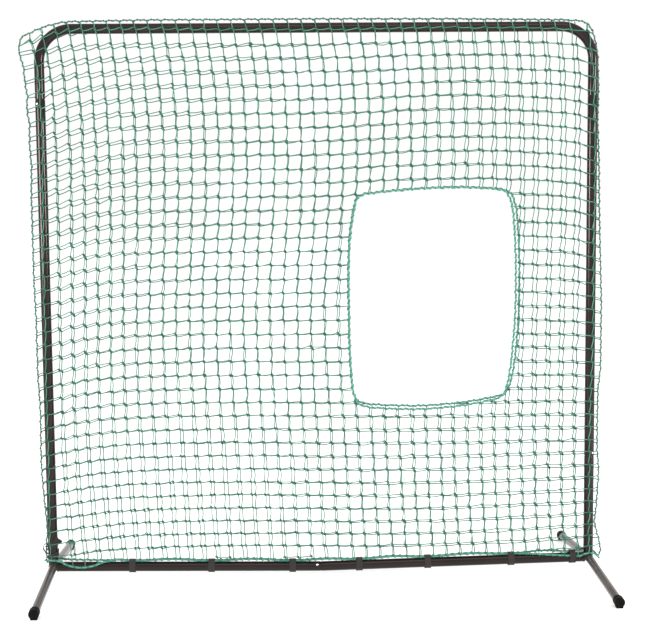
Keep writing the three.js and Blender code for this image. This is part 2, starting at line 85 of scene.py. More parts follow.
world = bpy.data.worlds.new("studio")
bpy.context.scene.world = world
world.use_nodes = True
bg = world.node_tree.nodes["Background"]
bg.inputs["Color"].default_value = (1.0, 0.998, 0.996, 1)
bg.inputs["Strength"].default_value = 1.04


def softbox(name, at, towards, size, power):
    d = bpy.data.lights.new(name, "AREA")
    d.shape = "RECTANGLE"
    d.size, d.size_y = size
    d.energy = power
    o = bpy.data.objects.new(name, d)
    bpy.context.scene.collection.objects.link(o)
    o.location = at
    o.rotation_euler = (Vector(towards) - Vector(at)).to_track_quat("-Z", "Y").to_euler()
    o.visible_camera = False
    return o


# two broad boxes in front, left and right: they make the streaks down the posts
softbox("box_left", (-4.6, -2.7, 1.54), (-1.05, 0, 1.53), (1.9, 1.14), 165)
softbox("box_right", (4.55, -2.83, 1.8), (1.05, 0, 1.7), (1.6, 1.4), 180)
softbox("key_above", (0.6, -2.8, 4.6), (0, 0, 0.9), (3.2, 1.8), 30)


# ======================= mesh helpers =======================
def make_mesh(name, verts, faces, mats, mat_index=None, smooth=True, sharp=None, body=ROOT, slot=None, replaces=()):
    """verts (N,3) in mm; faces a list of (M,k) int arrays with 3 or 4 columns."""
    me = bpy.data.meshes.new(name)
    verts = np.asarray(verts, float) * MM
    me.vertices.add(len(verts))
    me.vertices.foreach_set("co", verts.astype(np.float32).ravel())
    total = np.concatenate([np.full(len(f), f.shape[1]) for f in faces if len(f)])
    loops = np.concatenate([f.ravel() for f in faces if len(f)])
    me.loops.add(len(loops))
    me.loops.foreach_set("vertex_index", loops.astype(np.int32))
    me.polygons.add(len(total))
    start = np.r_[0, np.cumsum(total)[:-1]]
    me.polygons.foreach_set("loop_start", start.astype(np.int32))
    me.polygons.foreach_set("loop_total", total.astype(np.int32))
    if smooth:
        me.polygons.foreach_set("use_smooth", np.ones(len(total), bool))
    for mt in mats:
        me.materials.append(mt)
    if mat_index is not None:
        me.polygons.foreach_set("material_index", mat_index.astype(np.int32))
    me.update(calc_edges=True)
    me.validate()
    if sharp is not None:
        me.set_sharp_from_angle(angle=math.radians(sharp))
    o = bpy.data.objects.new(name, me)
    bpy.context.scene.collection.objects.link(o)
    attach(o, body)
    if replaces:
        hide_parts(*replaces)
    return o


def unit(a):
    return a / np.maximum(np.linalg.norm(a, axis=-1, keepdims=True), 1e-12)


def path_frames(P, ref):
    """Tangents, and two normals made from a reference direction, for paths (N,K,3)."""
    T = np.empty_like(P)
    T[:, 1:-1] = P[:, 2:] - P[:, :-2]
    T[:, 0] = P[:, 1] - P[:, 0]
    T[:, -1] = P[:, -1] - P[:, -2]
    T = unit(T)
    A = unit(np.cross(T, np.broadcast_to(ref, T.shape)))
    B = np.cross(A, T)
    return T, A, B


def batch_tubes(P, radius, sides, ref):
    """Closed tubes along many paths at once: (verts, quads, tris)."""
    N, K, _ = P.shape
    T, A, B = path_frames(P, ref)
    R = np.broadcast_to(np.asarray(radius, float), (N, K))[:, :, None, None]
    ang = np.arange(sides) / sides * 2 * math.pi
    ring = A[:, :, None, :] * np.cos(ang)[None, None, :, None] + B[:, :, None, :] * np.sin(ang)[None, None, :, None]
    V = P[:, :, None, :] + ring * R
    V = V.reshape(N, K * sides, 3)
    tip0 = P[:, 0] - T[:, 0] * R[:, 0, 0] * 0.5
    tip1 = P[:, -1] + T[:, -1] * R[:, -1, 0] * 0.5
    V = np.concatenate([V, tip0[:, None], tip1[:, None]], 1)
    per = K * sides + 2
    k, s = np.meshgrid(np.arange(K - 1), np.arange(sides), indexing="ij")
    s2 = (s + 1) % sides
    q = np.stack([k * sides + s, k * sides + s2, (k + 1) * sides + s2, (k + 1) * sides + s], -1).reshape(-1, 4)
    s = np.arange(sides)
    s2 = (s + 1) % sides
    t0 = np.stack([np.full(sides, K * sides), s2, s], -1)
    t1 = np.stack([np.full(sides, K * sides + 1), (K - 1) * sides + s, (K - 1) * sides + s2], -1)
    t = np.concatenate([t0, t1])
    off = (np.arange(N) * per)[:, None, None]
    # the rings run anticlockwise about B x A, so the faces are flipped to face out
    Q = (q[None] + off).reshape(-1, 4)[:, ::-1]
    Tt = (t[None] + off).reshape(-1, 3)[:, ::-1]
    return V.reshape(-1, 3), Q, Tt


class Bag:
    """Collects several batches of tubes into one mesh."""

    def __init__(self):
        self.v, self.q, self.t, self.qm, self.tm, self.n = [], [], [], [], [], 0

    def add(self, verts, quads, tris, mat=0):
        self.v.append(verts)
        self.q.append(quads + self.n)
        self.t.append(tris + self.n)
        self.qm.append(np.broadcast_to(mat, (len(quads),)))
        self.tm.append(np.broadcast_to(mat, (len(tris),)))
        self.n += len(verts)

    def tubes(self, P, radius, sides, ref, mat=0):
        if len(P) == 0:
            return
        v, q, t = batch_tubes(P, radius, sides, ref)
        if np.ndim(mat) == 0:
            self.add(v, q, t, mat)
        else:
            n = len(P)
            self.v.append(v)
            self.q.append(q + self.n)
            self.t.append(t + self.n)
            self.qm.append(np.repeat(mat, len(q) // n))
            self.tm.append(np.repeat(mat, len(t) // n))
            self.n += len(v)

    def build(self, name, mats, **kw):
        q = np.concatenate(self.q) if self.q else np.zeros((0, 4), int)
        t = np.concatenate(self.t) if self.t else np.zeros((0, 3), int)
        mi = np.concatenate([*self.qm, *self.tm])
        return make_mesh(name, np.concatenate(self.v), [q, t], mats, mi, **kw)


def catmull(points, n, closed=False):
    """A smooth curve through points, with n steps between each two."""
    P = np.asarray(points, float)
    out = []
    m = len(P)
    segs = m if closed else m - 1
    for i in range(segs):
        if closed:
            p0, p1, p2, p3 = P[(i - 1) % m], P[i], P[(i + 1) % m], P[(i + 2) % m]
        else:
            p0, p1, p2, p3 = P[max(0, i - 1)], P[i], P[i + 1], P[min(m - 1, i + 2)]
        d1 = max(np.linalg.norm(p1 - p0), 1e-6) ** 0.5
        d2 = max(np.linalg.norm(p2 - p1), 1e-6) ** 0.5
        d3 = max(np.linalg.norm(p3 - p2), 1e-6) ** 0.5
        m1 = (p2 - p1) + d2 * ((p1 - p0) / d1 - (p2 - p0) / (d1 + d2)) if np.linalg.norm(p1 - p0) > 1e-6 else (p2 - p1)
        m2 = (p2 - p1) + d2 * ((p3 - p2) / d3 - (p3 - p1) / (d2 + d3)) if np.linalg.norm(p3 - p2) > 1e-6 else (p2 - p1)
        for k in range(n):
            t = k / n
            out.append((2 * t**3 - 3 * t**2 + 1) * p1 + (t**3 - 2 * t**2 + t) * m1 + (-2 * t**3 + 3 * t**2) * p2 + (t**3 - t**2) * m2)
    if not closed:
        out.append(P[-1])
    return np.array(out)


def resample(P, step, closed=False):
    Q = np.vstack([P, P[:1]]) if closed else P
    L = np.r_[0, np.cumsum(np.linalg.norm(np.diff(Q, axis=0), axis=1))]
    n = max(2, int(round(L[-1] / step)))
    s = np.linspace(0, L[-1], n + 1)
    if closed:
        s = s[:-1]
    return np.stack([np.interp(s, L, Q[:, k]) for k in range(3)], 1), L[-1]


def transport(P, closed=False):
    """Rotation-minimising normals along a path."""
    n = len(P)
    T = unit(np.roll(P, -1, 0) - np.roll(P, 1, 0)) if closed else unit(np.gradient(P, axis=0))
    ref = np.array([0.0, 1.0, 0.0])
    if abs(T[0] @ ref) > 0.9:
        ref = np.array([0.0, 0.0, 1.0])
    A = np.empty_like(P)
    a = unit(np.cross(T[0], ref))
    for i in range(n):
        a = a - (a @ T[i]) * T[i]
        a = a / np.linalg.norm(a)
        A[i] = a
    B = np.cross(T, A)
    if closed:  # spread the turn that is left at the join
        a = A[-1] - (A[-1] @ T[0]) * T[0]
        a /= np.linalg.norm(a)
        gap = math.atan2(a @ B[0], a @ A[0])
        w = -gap * np.arange(n) / n
        A, B = A * np.cos(w)[:, None] + B * np.sin(w)[:, None], B * np.cos(w)[:, None] - A * np.sin(w)[:, None]
    return T, A, B


def ring_tube(P, A, B, rad, sides, closed):
    """One tube along a path with its own normals, closed or capped."""
    n = len(P)
    ang = np.arange(sides) / sides * 2 * math.pi
    rad = np.broadcast_to(np.asarray(rad, float), (n,))
    V = P[:, None] + (A[:, None] * np.cos(ang)[None, :, None] + B[:, None] * np.sin(ang)[None, :, None]) * rad[:, None, None]
    V = V.reshape(-1, 3)
    kk = np.arange(n if closed else n - 1)
    k, s = np.meshgrid(kk, np.arange(sides), indexing="ij")
    k2, s2 = (k + 1) % n, (s + 1) % sides
    q = np.stack([k * sides + s, k * sides + s2, k2 * sides + s2, k2 * sides + s], -1).reshape(-1, 4)
    t = np.zeros((0, 3), int)
    if not closed:
        T0, T1 = unit(P[1] - P[0]), unit(P[-1] - P[-2])
        V = np.vstack([V, P[0] - T0 * rad[0] * 0.4, P[-1] + T1 * rad[-1] * 0.4])
        s = np.arange(sides)
        s2 = (s + 1) % sides
        t = np.concatenate([np.stack([np.full(sides, n * sides), s2, s], -1), np.stack([np.full(sides, n * sides + 1), (n - 1) * sides + s, (n - 1) * sides + s2], -1)])
    return V, q, t


def laid_rope(bag, P, R, pitch, strands=3, sides=7, step=3.4, closed=False, mat=0, wobble=0.0):
    """Strands twisted round one another along a path."""
    P, length = resample(P, step, closed)
    n = len(P)
    T, A, B = transport(P, closed)
    turns = round(length / pitch) if closed else length / pitch
    s = np.arange(n) / (n if closed else n - 1)
    rs = R * 0.535
    for c in range(strands):
        a = 2 * math.pi * (turns * s + c / strands)
        off = (R - rs) * (1.0 + wobble * np.sin(2 * math.pi * s * 37 + c))
        C = P + (A * np.cos(a)[:, None] + B * np.sin(a)[:, None]) * off[:, None]
        v, q, t = ring_tube(C, A, B, rs, sides, closed)
        bag.add(v, q, t, mat if np.ndim(mat) == 0 else mat[c])
    return length


def wrapping(P, R, pitch, r, sides=6, closed=False, per=9, seed=0, loose=0.35):
    """A lashing wound round a rope: its own centre-line."""
    Q, length = resample(P, pitch / per, closed)
    T, A, B = transport(Q, closed)
    n = len(Q)
    turns = round(length / pitch) if closed else length / pitch
    s = np.arange(n) / (n if closed else n - 1)
    rg = np.random.default_rng(seed)
    wob = np.interp(np.linspace(0, 1, n), np.linspace(0, 1, int(turns) + 2), rg.normal(0, 1, int(turns) + 2))
    a = 2 * math.pi * turns * s + 0.5 * wob
    C = Q + (A * np.cos(a)[:, None] + B * np.sin(a)[:, None]) * (R + r + loose * np.clip(wob, 0, 2))[:, None]
    return C


# ======================= materials =======================
def new_material(name):
    mt = bpy.data.materials.new(name)
    mt.use_nodes = True
    nt = mt.node_tree
    return mt, nt, nt.nodes["Principled BSDF"]


def node(nt, kind, **values):
    n = nt.nodes.new(kind)
    for k, v in values.items():
        setattr(n, k, v)
    return n


def object_coords(nt):
    return node(nt, "ShaderNodeTexCoord").outputs["Object"]


def noise(nt, co, scale, detail=3.0, rough=0.5):
    n = node(nt, "ShaderNodeTexNoise")
    n.inputs["Scale"].default_value = scale
    n.inputs["Detail"].default_value = detail
    n.inputs["Roughness"].default_value = rough
    nt.links.new(co, n.inputs["Vector"])
    return n.outputs["Fac"]


def ramp(nt, fac, stops):
    n = node(nt, "ShaderNodeValToRGB")
    e = n.color_ramp.elements
    while len(e) < len(stops):
        e.new(0.5)
    for el, (p, c) in zip(e, stops):
        el.position = p
        el.color = (*c, 1) if len(c) == 3 else c
    nt.links.new(fac, n.inputs["Fac"])
    return n.outputs["Color"]


def to_range(nt, fac, lo, hi):
    n = node(nt, "ShaderNodeMapRange")
    n.inputs["To Min"].default_value = lo
    n.inputs["To Max"].default_value = hi
    nt.links.new(fac, n.inputs["Value"])
    return n.outputs["Result"]


def bump(nt, height, strength, distance, p, under=None):
    n = node(nt, "ShaderNodeBump")
    n.inputs["Strength"].default_value = strength
    n.inputs["Distance"].default_value = distance
    nt.links.new(height, n.inputs["Height"])
    if under is not None:
        nt.links.new(under, n.inputs["Normal"])
    nt.links.new(n.outputs["Normal"], p.inputs["Normal"])
    return n.outputs["Normal"]


def powder_coat(name="frame_paint", low=(0.0062, 0.0042, 0.0042), high=(0.0100, 0.0070, 0.0070)):
    mt, nt, p = new_material(name)
    co = object_coords(nt)
    big = noise(nt, co, 9.0, 4.0, 0.6)
    col = ramp(nt, big, [(0.35, low), (0.65, high)])
    nt.links.new(col, p.inputs["Base Color"])
    nt.links.new(to_range(nt, noise(nt, co, 55.0, 5.0, 0.65), 0.12, 0.22), p.inputs["Roughness"])
    bump(nt, noise(nt, co, 420.0, 2.0, 0.5), 0.06, 0.0003, p)
    p.inputs["Specular IOR Level"].default_value = 0.32
    p.inputs["Specular Tint"].default_value = (1.0, 0.84, 0.78, 1.0)
    return mt


def weld_metal():
    mt, nt, p = new_material("weld_paint")
    co = object_coords(nt)
    col = ramp(nt, noise(nt, co, 160.0, 3.0), [(0.3, (0.006, 0.005, 0.005)), (0.7, (0.016, 0.014, 0.013))])
    nt.links.new(col, p.inputs["Base Color"])
    nt.links.new(to_range(nt, noise(nt, co, 240.0, 3.0), 0.3, 0.5), p.inputs["Roughness"])
    bump(nt, noise(nt, co, 420.0, 3.0), 0.35, 0.0008, p)
    return mt


def zinc():
    mt, nt, p = new_material("zinc_plate")
    co = object_coords(nt)
    col = ramp(nt, noise(nt, co, 260.0, 3.0), [(0.3, (0.62, 0.62, 0.63)), (0.7, (0.80, 0.80, 0.80))])
    nt.links.new(col, p.inputs["Base Color"])
    p.inputs["Metallic"].default_value = 1.0
    nt.links.new(to_range(nt, noise(nt, co, 500.0, 3.0), 0.18, 0.34), p.inputs["Roughness"])
    return mt


def spring_steel():
    mt, nt, p = new_material("spring_steel")
    co = object_coords(nt)
    col = ramp(nt, noise(nt, co, 120.0, 4.0), [(0.3, (0.20, 0.21, 0.22)), (0.7, (0.34, 0.35, 0.36))])
    nt.links.new(col, p.inputs["Base Color"])
    p.inputs["Metallic"].default_value = 1.0
    nt.links.new(to_range(nt, noise(nt, co, 300.0, 3.0), 0.3, 0.48), p.inputs["Roughness"])
    return mt


def rubber():
    mt, nt, p = new_material("cap_rubber")
    co = object_coords(nt)
    col = ramp(nt, noise(nt, co, 70.0, 5.0, 0.6), [(0.35, (0.0024, 0.0020, 0.0019)), (0.7, (0.0058, 0.0052, 0.0048))])
    nt.links.new(col, p.inputs["Base Color"])
    nt.links.new(to_range(nt, noise(nt, co, 130.0, 4.0), 0.42, 0.62), p.inputs["Roughness"])
    bump(nt, noise(nt, co, 1500.0, 2.0), 0.25, 0.0003, p)
    p.inputs["Specular IOR Level"].default_value = 0.07
    return mt


def twine(name, colour, rough=0.74):
    """Twisted polyethylene twine: one dyed colour for each tint, with its fibres in the bump."""
    mt, nt, p = new_material(name)
    co = object_coords(nt)
    p.inputs["Base Color"].default_value = (*colour, 1)
    p.inputs["Roughness"].default_value = rough
    p.inputs["Specular IOR Level"].default_value = 0.35
    w = node(nt, "ShaderNodeTexWave", wave_type="BANDS", bands_direction="DIAGONAL", wave_profile="SIN")
    w.inputs["Scale"].default_value = 170.0
    w.inputs["Distortion"].default_value = 1.4
    w.inputs["Detail"].default_value = 1.0
    nt.links.new(co, w.inputs["Vector"])
    first = bump(nt, w.outputs["Fac"], 0.55, 0.0008, p)
    bump(nt, noise(nt, co, 1800.0, 2.0), 0.25, 0.0004, p, first)
    return mt


def webbing():
    mt, nt, p = new_material("strap_webbing")
    co = object_coords(nt)
    w = node(nt, "ShaderNodeTexWave", wave_type="BANDS", bands_direction="X", wave_profile="SIN")
    w.inputs["Scale"].default_value = 190.0
    nt.links.new(co, w.inputs["Vector"])
    w2 = node(nt, "ShaderNodeTexWave", wave_type="BANDS", bands_direction="DIAGONAL", wave_profile="SIN")
    w2.inputs["Scale"].default_value = 230.0
    nt.links.new(co, w2.inputs["Vector"])
    mx = node(nt, "ShaderNodeMath", operation="MULTIPLY")
    nt.links.new(w.outputs["Fac"], mx.inputs[0])
    nt.links.new(w2.outputs["Fac"], mx.inputs[1])
    col = ramp(nt, mx.outputs["Value"], [(0.1, (0.022, 0.018, 0.018)), (0.9, (0.060, 0.051, 0.050))])
    nt.links.new(col, p.inputs["Base Color"])
    nt.links.new(to_range(nt, noise(nt, co, 90.0, 4.0), 0.72, 0.95), p.inputs["Roughness"])
    p.inputs["Sheen Weight"].default_value = 0.08
    p.inputs["Sheen Roughness"].default_value = 0.5
    p.inputs["Specular IOR Level"].default_value = 0.15
    bump(nt, mx.outputs["Value"], 0.6, 0.0006, p)
    return mt


PAINT, WELD, ZINC, SPRING, RUBBER, WEB = powder_coat(), weld_metal(), zinc(), spring_steel(), rubber(), webbing()
# the foot bars take the frame's own paint made several times lighter: this is painted light, for the light that falls
# on their top faces
FOOT_PAINT_PAINTED_LIGHT = powder_coat("frame_paint_feet_painted_light", (0.046, 0.035, 0.032), (0.064, 0.049, 0.045))
TWINES = [
    twine("twine_green", (0.054, 0.192, 0.130)),
    twine("twine_green_pale", (0.072, 0.236, 0.162)),
    twine("twine_green_deep", (0.040, 0.154, 0.102)),
    twine("knot_green", (0.036, 0.130, 0.088), 0.8),
    twine("knot_green_deep", (0.024, 0.098, 0.064), 0.8),
]
ROPES = [
    twine("rope_green", (0.064, 0.248, 0.182), 0.68),
    twine("rope_green_pale", (0.112, 0.325, 0.250), 0.68),
    twine("rope_lashing", (0.024, 0.150, 0.100), 0.75),
]


# ======================= frame tubes =======================
def tube_shell(P, T, r_out, r_in, sides=56):
    """A thin-walled tube along stations, with rounded rims: verts, quads."""
    P, T = np.asarray(P, float), unit(np.asarray(T, float))
    n = len(P)
    ref = np.array([0.0, 1.0, 0.0]) if max(abs(T[:, 1])) < 0.9 else np.array([1.0, 0.0, 0.0])
    A = unit(np.cross(T, ref))
    B = np.cross(T, A)
    ang = np.arange(sides) / sides * 2 * math.pi
    ring = A[:, None] * np.cos(ang)[None, :, None] + B[:, None] * np.sin(ang)[None, :, None]
    outer = P[:, None] + ring * np.asarray(r_out)[:, None, None]
    inner = P[:, None] + ring * np.asarray(r_in)[:, None, None]
    V = np.vstack([outer.reshape(-1, 3), inner.reshape(-1, 3)])
    k, s = np.meshgrid(np.arange(n - 1), np.arange(sides), indexing="ij")
    s2 = (s + 1) % sides
    o = n * sides
    qo = np.stack([k * sides + s, k * sides + s2, (k + 1) * sides + s2, (k + 1) * sides + s], -1).reshape(-1, 4)
    qi = (qo + o)[:, ::-1]
    s = np.arange(sides)
    s2 = (s + 1) % sides
    e0 = np.stack([s, o + s, o + s2, s2], -1)
    b = (n - 1) * sides
    e1 = np.stack([b + s, b + s2, o + b + s2, o + b + s], -1)
    return V, np.concatenate([qo, qi, e0, e1])


def straight_stations(a, b, r=TUBE_R, wall=WALL, swage=False, start_rim=True, end_rim=True, n_mid=1):
    """Stations (points, radii) of a straight tube; with swage, b is where the shoulder begins."""
    a, b = np.asarray(a, float), np.asarray(b, float)
    L = np.linalg.norm(b - a)
    d = (b - a) / L
    ri = r - wall
    s, ro, rr = [], [], []

    def put(x, o, i):
        s.append(x); ro.append(o); rr.append(i)

    if start_rim:
        put(0, r - 0.45, ri + 0.2); put(0.15, r - 0.15, ri); put(0.5, r, ri)
    else:
        put(0, r, ri)
    for k in range(1, n_mid + 1):
        put(L * k / (n_mid + 1), r, ri)
    if swage:
        si = SWAGE_R - WALL
        for x, o in ((-1.2, r), (0.0, r - 0.12), (1.0, r - 0.62), (2.1, (r + SWAGE_R) / 2), (3.3, SWAGE_R + 0.3), (4.2, SWAGE_R)):
            put(L + x, o, ri if x < 0 else max(si, ri - (r - o)))
        e = L + 4.2 + SWAGE_LEN
        put(e - 4, SWAGE_R, si); put(e - 3, SWAGE_R - 0.05, si); put(e - 0.5, SWAGE_R - 0.6, si); put(e, SWAGE_R - 0.9, si)
    elif end_rim:
        put(L - 0.5, r, ri); put(L - 0.15, r - 0.15, ri); put(L, r - 0.45, ri + 0.2)
    else:
        put(L, r, ri)
    s = np.array(s)
    return a + s[:, None] * d, np.repeat(d[None], len(s), 0), np.array(ro), np.array(rr)


def with_cuts(obj, cutters):
    """Booleans the cutters away and keeps the result as the object's own mesh."""
    for i, (v, q, t) in enumerate(cutters):
        c = bpy.data.meshes.new("cut")
        faces = [tuple(map(int, f)) for f in q] + [tuple(map(int, f)) for f in t]
        c.from_pydata([tuple(p) for p in np.asarray(v) * MM], [], faces)
        c.update()
        co = bpy.data.objects.new("cut", c)
        bpy.context.scene.collection.objects.link(co)
        md = obj.modifiers.new("cut", "BOOLEAN")
        md.operation, md.solver, md.object = "DIFFERENCE", "EXACT", co
        bpy.context.view_layer.update()
        dg = bpy.context.evaluated_depsgraph_get()
        me = bpy.data.meshes.new_from_object(obj.evaluated_get(dg), depsgraph=dg)
        obj.modifiers.clear()
        old = obj.data
        if len(me.polygons) > 20:
            obj.data = me
            me.polygons.foreach_set("use_smooth", np.ones(len(me.polygons), bool))
            me.set_sharp_from_angle(angle=math.radians(32))
            bpy.data.meshes.remove(old)
        bpy.data.objects.remove(co)
        bpy.data.meshes.remove(c)
    return obj


def rod(centre, d, r, a, b, sides=40):
    d = unit(np.asarray(d, float))
    centre = np.asarray(centre, float)
    P = np.array([centre + d * a, centre + d * (a + b) / 2, centre + d * b])
    ref = np.array([0.0, 0.0, 1.0]) if abs(d[2]) < 0.9 else np.array([1.0, 0.0, 0.0])
    A = np.repeat(unit(np.cross(d, ref))[None], 3, 0)
    B = np.cross(np.repeat(d[None], 3, 0), A)
    return ring_tube(P, A, B, r, sides, False)


tilt = math.radians(30)
CS, SN = math.cos(tilt), math.sin(tilt)
RAIL_MID = np.array([MID_X + BUTTON_EDGE, 0, CORNER_Z - RAIL_SAG])
RAIL_L, RAIL_R = np.array([-POST_X, 0, CORNER_Z]), np.array([POST_X, 0, CORNER_Z])
DIR_L, DIR_R = unit(RAIL_MID - RAIL_L), unit(RAIL_MID - RAIL_R)
rn = np.array([0, -CS, SN])
rn = unit(rn - DIR_L * (rn @ DIR_L))
JOINTS = {
    "left_upper": (np.array([-POST_X, 0, UPPER_Z]), np.array([0, 0, 1.0]), np.array([-SN, -CS, 0])),
    "right_upper": (np.array([POST_X, 0, UPPER_Z]), np.array([0, 0, 1.0]), np.array([SN, CS, 0])),
    "left_lower": (np.array([-POST_X, 0, LOWER_Z]), np.array([0, 0, -1.0]), np.array([-SN, CS, 0])),
    "right_lower": (np.array([POST_X, 0, LOWER_Z]), np.array([0, 0, -1.0]), np.array([SN, -CS, 0])),
    "top_middle": (np.array([MID_X, 0, TOP_Z]), np.array([1.0, 0, 0]), np.array([0, CS, SN])),
    "rail_middle": (RAIL_MID - DIR_L * BUTTON_EDGE, DIR_L, rn),
}


def hole(name):
    c, a, r = JOINTS[name]
    return rod(c, r, BUTTON_HOLE_R, 8, TUBE_R + 6)


def seam(name):
    c, a, r = JOINTS[name]
    return c + a * BUTTON_EDGE


def shoulder(name):
    c, a, r = JOINTS[name]
    return c + a * (BUTTON_EDGE + GAP)


def tube_piece(name, P, T, ro, ri, cuts=(), sides=56):
    v, q = tube_shell(P, T, ro, ri, sides)
    # the foot bars get the lighter copy of the paint, which is painted light
    o = make_mesh(name + "_tube", v, [q], [FOOT_PAINT_PAINTED_LIGHT if name.startswith("foot_bar") else PAINT], sharp=32, slot="frame_paint", replaces=(name,))
    return with_cuts(o, list(cuts))


# top corner tubes
def corner_stations(side, x_top):
    cx, cz = side * (POST_X - BEND_R), TOP_Z - BEND_R
    P, T = [], []
    for i in range(33):
        a = i / 32 * math.pi / 2
        P.append((cx + side * BEND_R * math.sin(a), 0, cz + BEND_R * math.cos(a)))
        T.append((side * math.cos(a), 0, -math.sin(a)))
    return P, T


def top_tube(side, name, lower):
    zs = shoulder(lower)[2] + 4.2
    P, T = corner_stations(side, 0)
    RO, RI = [TUBE_R] * len(P), [TUBE_R - WALL] * len(P)
    # the run along the top: a plain rim on the left tube, a plug on the right one
    if side < 0:
        p, t, ro, ri = straight_stations(seam("top_middle"), np.array(P[0]), end_rim=False, n_mid=6)
    else:
        p, t, ro, ri = straight_stations(np.array(P[0]), np.array([shoulder("top_middle")[0] + 4.2, 0, TOP_Z]), swage=True, start_rim=False, n_mid=6)
        p, t, ro, ri = p[::-1], -t[::-1], ro[::-1], ri[::-1]
    # the short leg down to the post, with its plug
    p2, t2, ro2, ri2 = straight_stations(np.array(P[-1]), np.array([side * POST_X, 0, zs]), swage=True, start_rim=False, n_mid=2)
    PP = np.vstack([p[:-1], P, p2[1:]])
    TT = np.vstack([t[:-1], T, t2[1:]])
    o = tube_piece(name, PP, TT, np.r_[ro[:-1], RO, ro2[1:]], np.r_[ri[:-1], RI, ri2[1:]], [hole(lower), hole("top_middle")])
    return o


top_tube(-1, "top_tube_left", "left_upper")
top_tube(1, "top_tube_right", "right_upper")

for side, nm, up, low in ((-1, "post_left", "left_upper", "left_lower"), (1, "post_right", "right_upper", "right_lower")):
    tube_piece(nm, *straight_stations(seam(low), seam(up), n_mid=14), [hole(up), hole(low)])

SLOPE = math.atan((CORNER_Z - TIP_Z) / CAP_Y)


def foot_stations(x):
    t = FOOT_BEND_R * math.tan(SLOPE)
    at = lambda y: np.array([x, y, CORNER_Z - abs(y) * math.tan(SLOPE)])
    end = CAP_Y - CAP_END
    P, T = [], []
    dirn = np.array([0, math.cos(SLOPE), math.sin(SLOPE)])
    dirp = np.array([0, math.cos(SLOPE), -math.sin(SLOPE)])
    for y in (-end, -400, -200, -60):
        P.append(at(y)); T.append(dirn)
    zc = at(-t * math.cos(SLOPE))[2] - FOOT_BEND_R * math.cos(SLOPE)
    for i in range(13):
        a = SLOPE * (1 - 2 * i / 12)
        P.append(np.array([x, -FOOT_BEND_R * math.sin(a), zc + FOOT_BEND_R * math.cos(a)]))
        T.append(np.array([0, math.cos(a), math.sin(a)]))
    for y in (60, 200, 400, end):
        P.append(at(y)); T.append(dirp)
    return np.array(P), np.array(T)


def foot_solid(side, grow=GAP):
    P, T = foot_stations(side * POST_X)
    A = unit(np.cross(T, np.array([1.0, 0, 0])))
    return ring_tube(P, A, np.cross(T, A), FOOT_R + grow, 56, False)


for side, nm, jn in ((-1, "left", "left_lower"), (1, "right", "right_lower")):
    P, T = foot_stations(side * POST_X)
    tube_piece("foot_bar_" + nm, P, T, np.full(len(P), FOOT_R), np.full(len(P), FOOT_R - FOOT_WALL))
    # the stub upright, coped over the foot bar
    z1 = shoulder(jn)[2] + 4.2 if JOINTS[jn][1][2] > 0 else shoulder(jn)[2] - 4.2
    tube_piece("base_upright_" + nm, *straight_stations((side * POST_X, 0, CORNER_Z), (side * POST_X, 0, z1), swage=True, start_rim=False, n_mid=4), [foot_solid(side), hole(jn)])

corner_cut = lambda side: [foot_solid(side), rod((side * POST_X, 0, CORNER_Z), (0, 0, 1), TUBE_R + GAP, -40, 200, 64)]
tube_piece("bottom_rail_left", *straight_stations(RAIL_L + DIR_L * 4, seam("rail_middle"), start_rim=False, n_mid=8), corner_cut(-1) + [hole("rail_middle")])
p, t, ro, ri = straight_stations(RAIL_R + DIR_R * 4, shoulder("rail_middle") + DIR_L * 4.2, swage=True, start_rim=False, n_mid=8)
# the plug end lies along the left half's axis
plug = np.array([(x - (shoulder("rail_middle") + DIR_L * 4.2)) @ DIR_R for x in p])
start = shoulder("rail_middle") + DIR_L * 4.2
for k in range(len(p)):
    if plug[k] > -1.5:
        p[k] = start - DIR_L * plug[k]
        t[k] = -DIR_L
tube_piece("bottom_rail_right", p, t, ro, ri, corner_cut(1) + [hole("rail_middle")])


# weld beads, each riding with the frame
def bead(name, path, r=2.0, seed=0):
    rg = np.random.default_rng(seed)
    P, L = resample(np.asarray(path, float), 1.4, True)
    T, A, B = transport(P, True)
    rad = r * (1 + 0.16 * np.sin(np.arange(len(P)) * 2 * math.pi / 3.1) + rg.normal(0, 0.05, len(P)))
    v, q, t = ring_tube(P, A, B, rad, 12, True)
    return make_mesh(name, v, [q], [WELD], slot="frame_paint")


for side, nm in ((-1, "left"), (1, "right")):
    # where the rail meets the upright
    d = DIR_L if side < 0 else DIR_R
    ring = []
    for k in range(72):
        a = 2 * math.pi * k / 72
        y, w = TUBE_R * 0.985 * math.cos(a), TUBE_R * 0.985 * math.sin(a)
        x = math.sqrt(max(0.0, (TUBE_R + 0.5) ** 2 - y * y))
        z = CORNER_Z + w + d[2] * x
        # below the foot bar's side the bead follows the smaller tube
        if z < CORNER_Z:
            x = max(x * 0.55 + 7.0, FOOT_R + 0.5)
        ring.append((side * POST_X - side * x, y, z))
    bead("weld_rail_" + nm, ring, 1.9, 3 + side)
    # where the upright sits on the foot bar
    ring = []
    for k in range(72):
        a = 2 * math.pi * k / 72
        x, y = TUBE_R * 0.99 * math.cos(a), TUBE_R * 0.99 * math.sin(a)
        drop = math.sqrt(max(0.0, (FOOT_R + 0.6) ** 2 - min(abs(x), FOOT_R + 0.6) ** 2))
        ring.append((side * POST_X + x, y, CORNER_Z - abs(y) * math.tan(SLOPE) + max(drop, 1.5)))
    bead("weld_foot_" + nm, ring, 1.7, 9 + side)


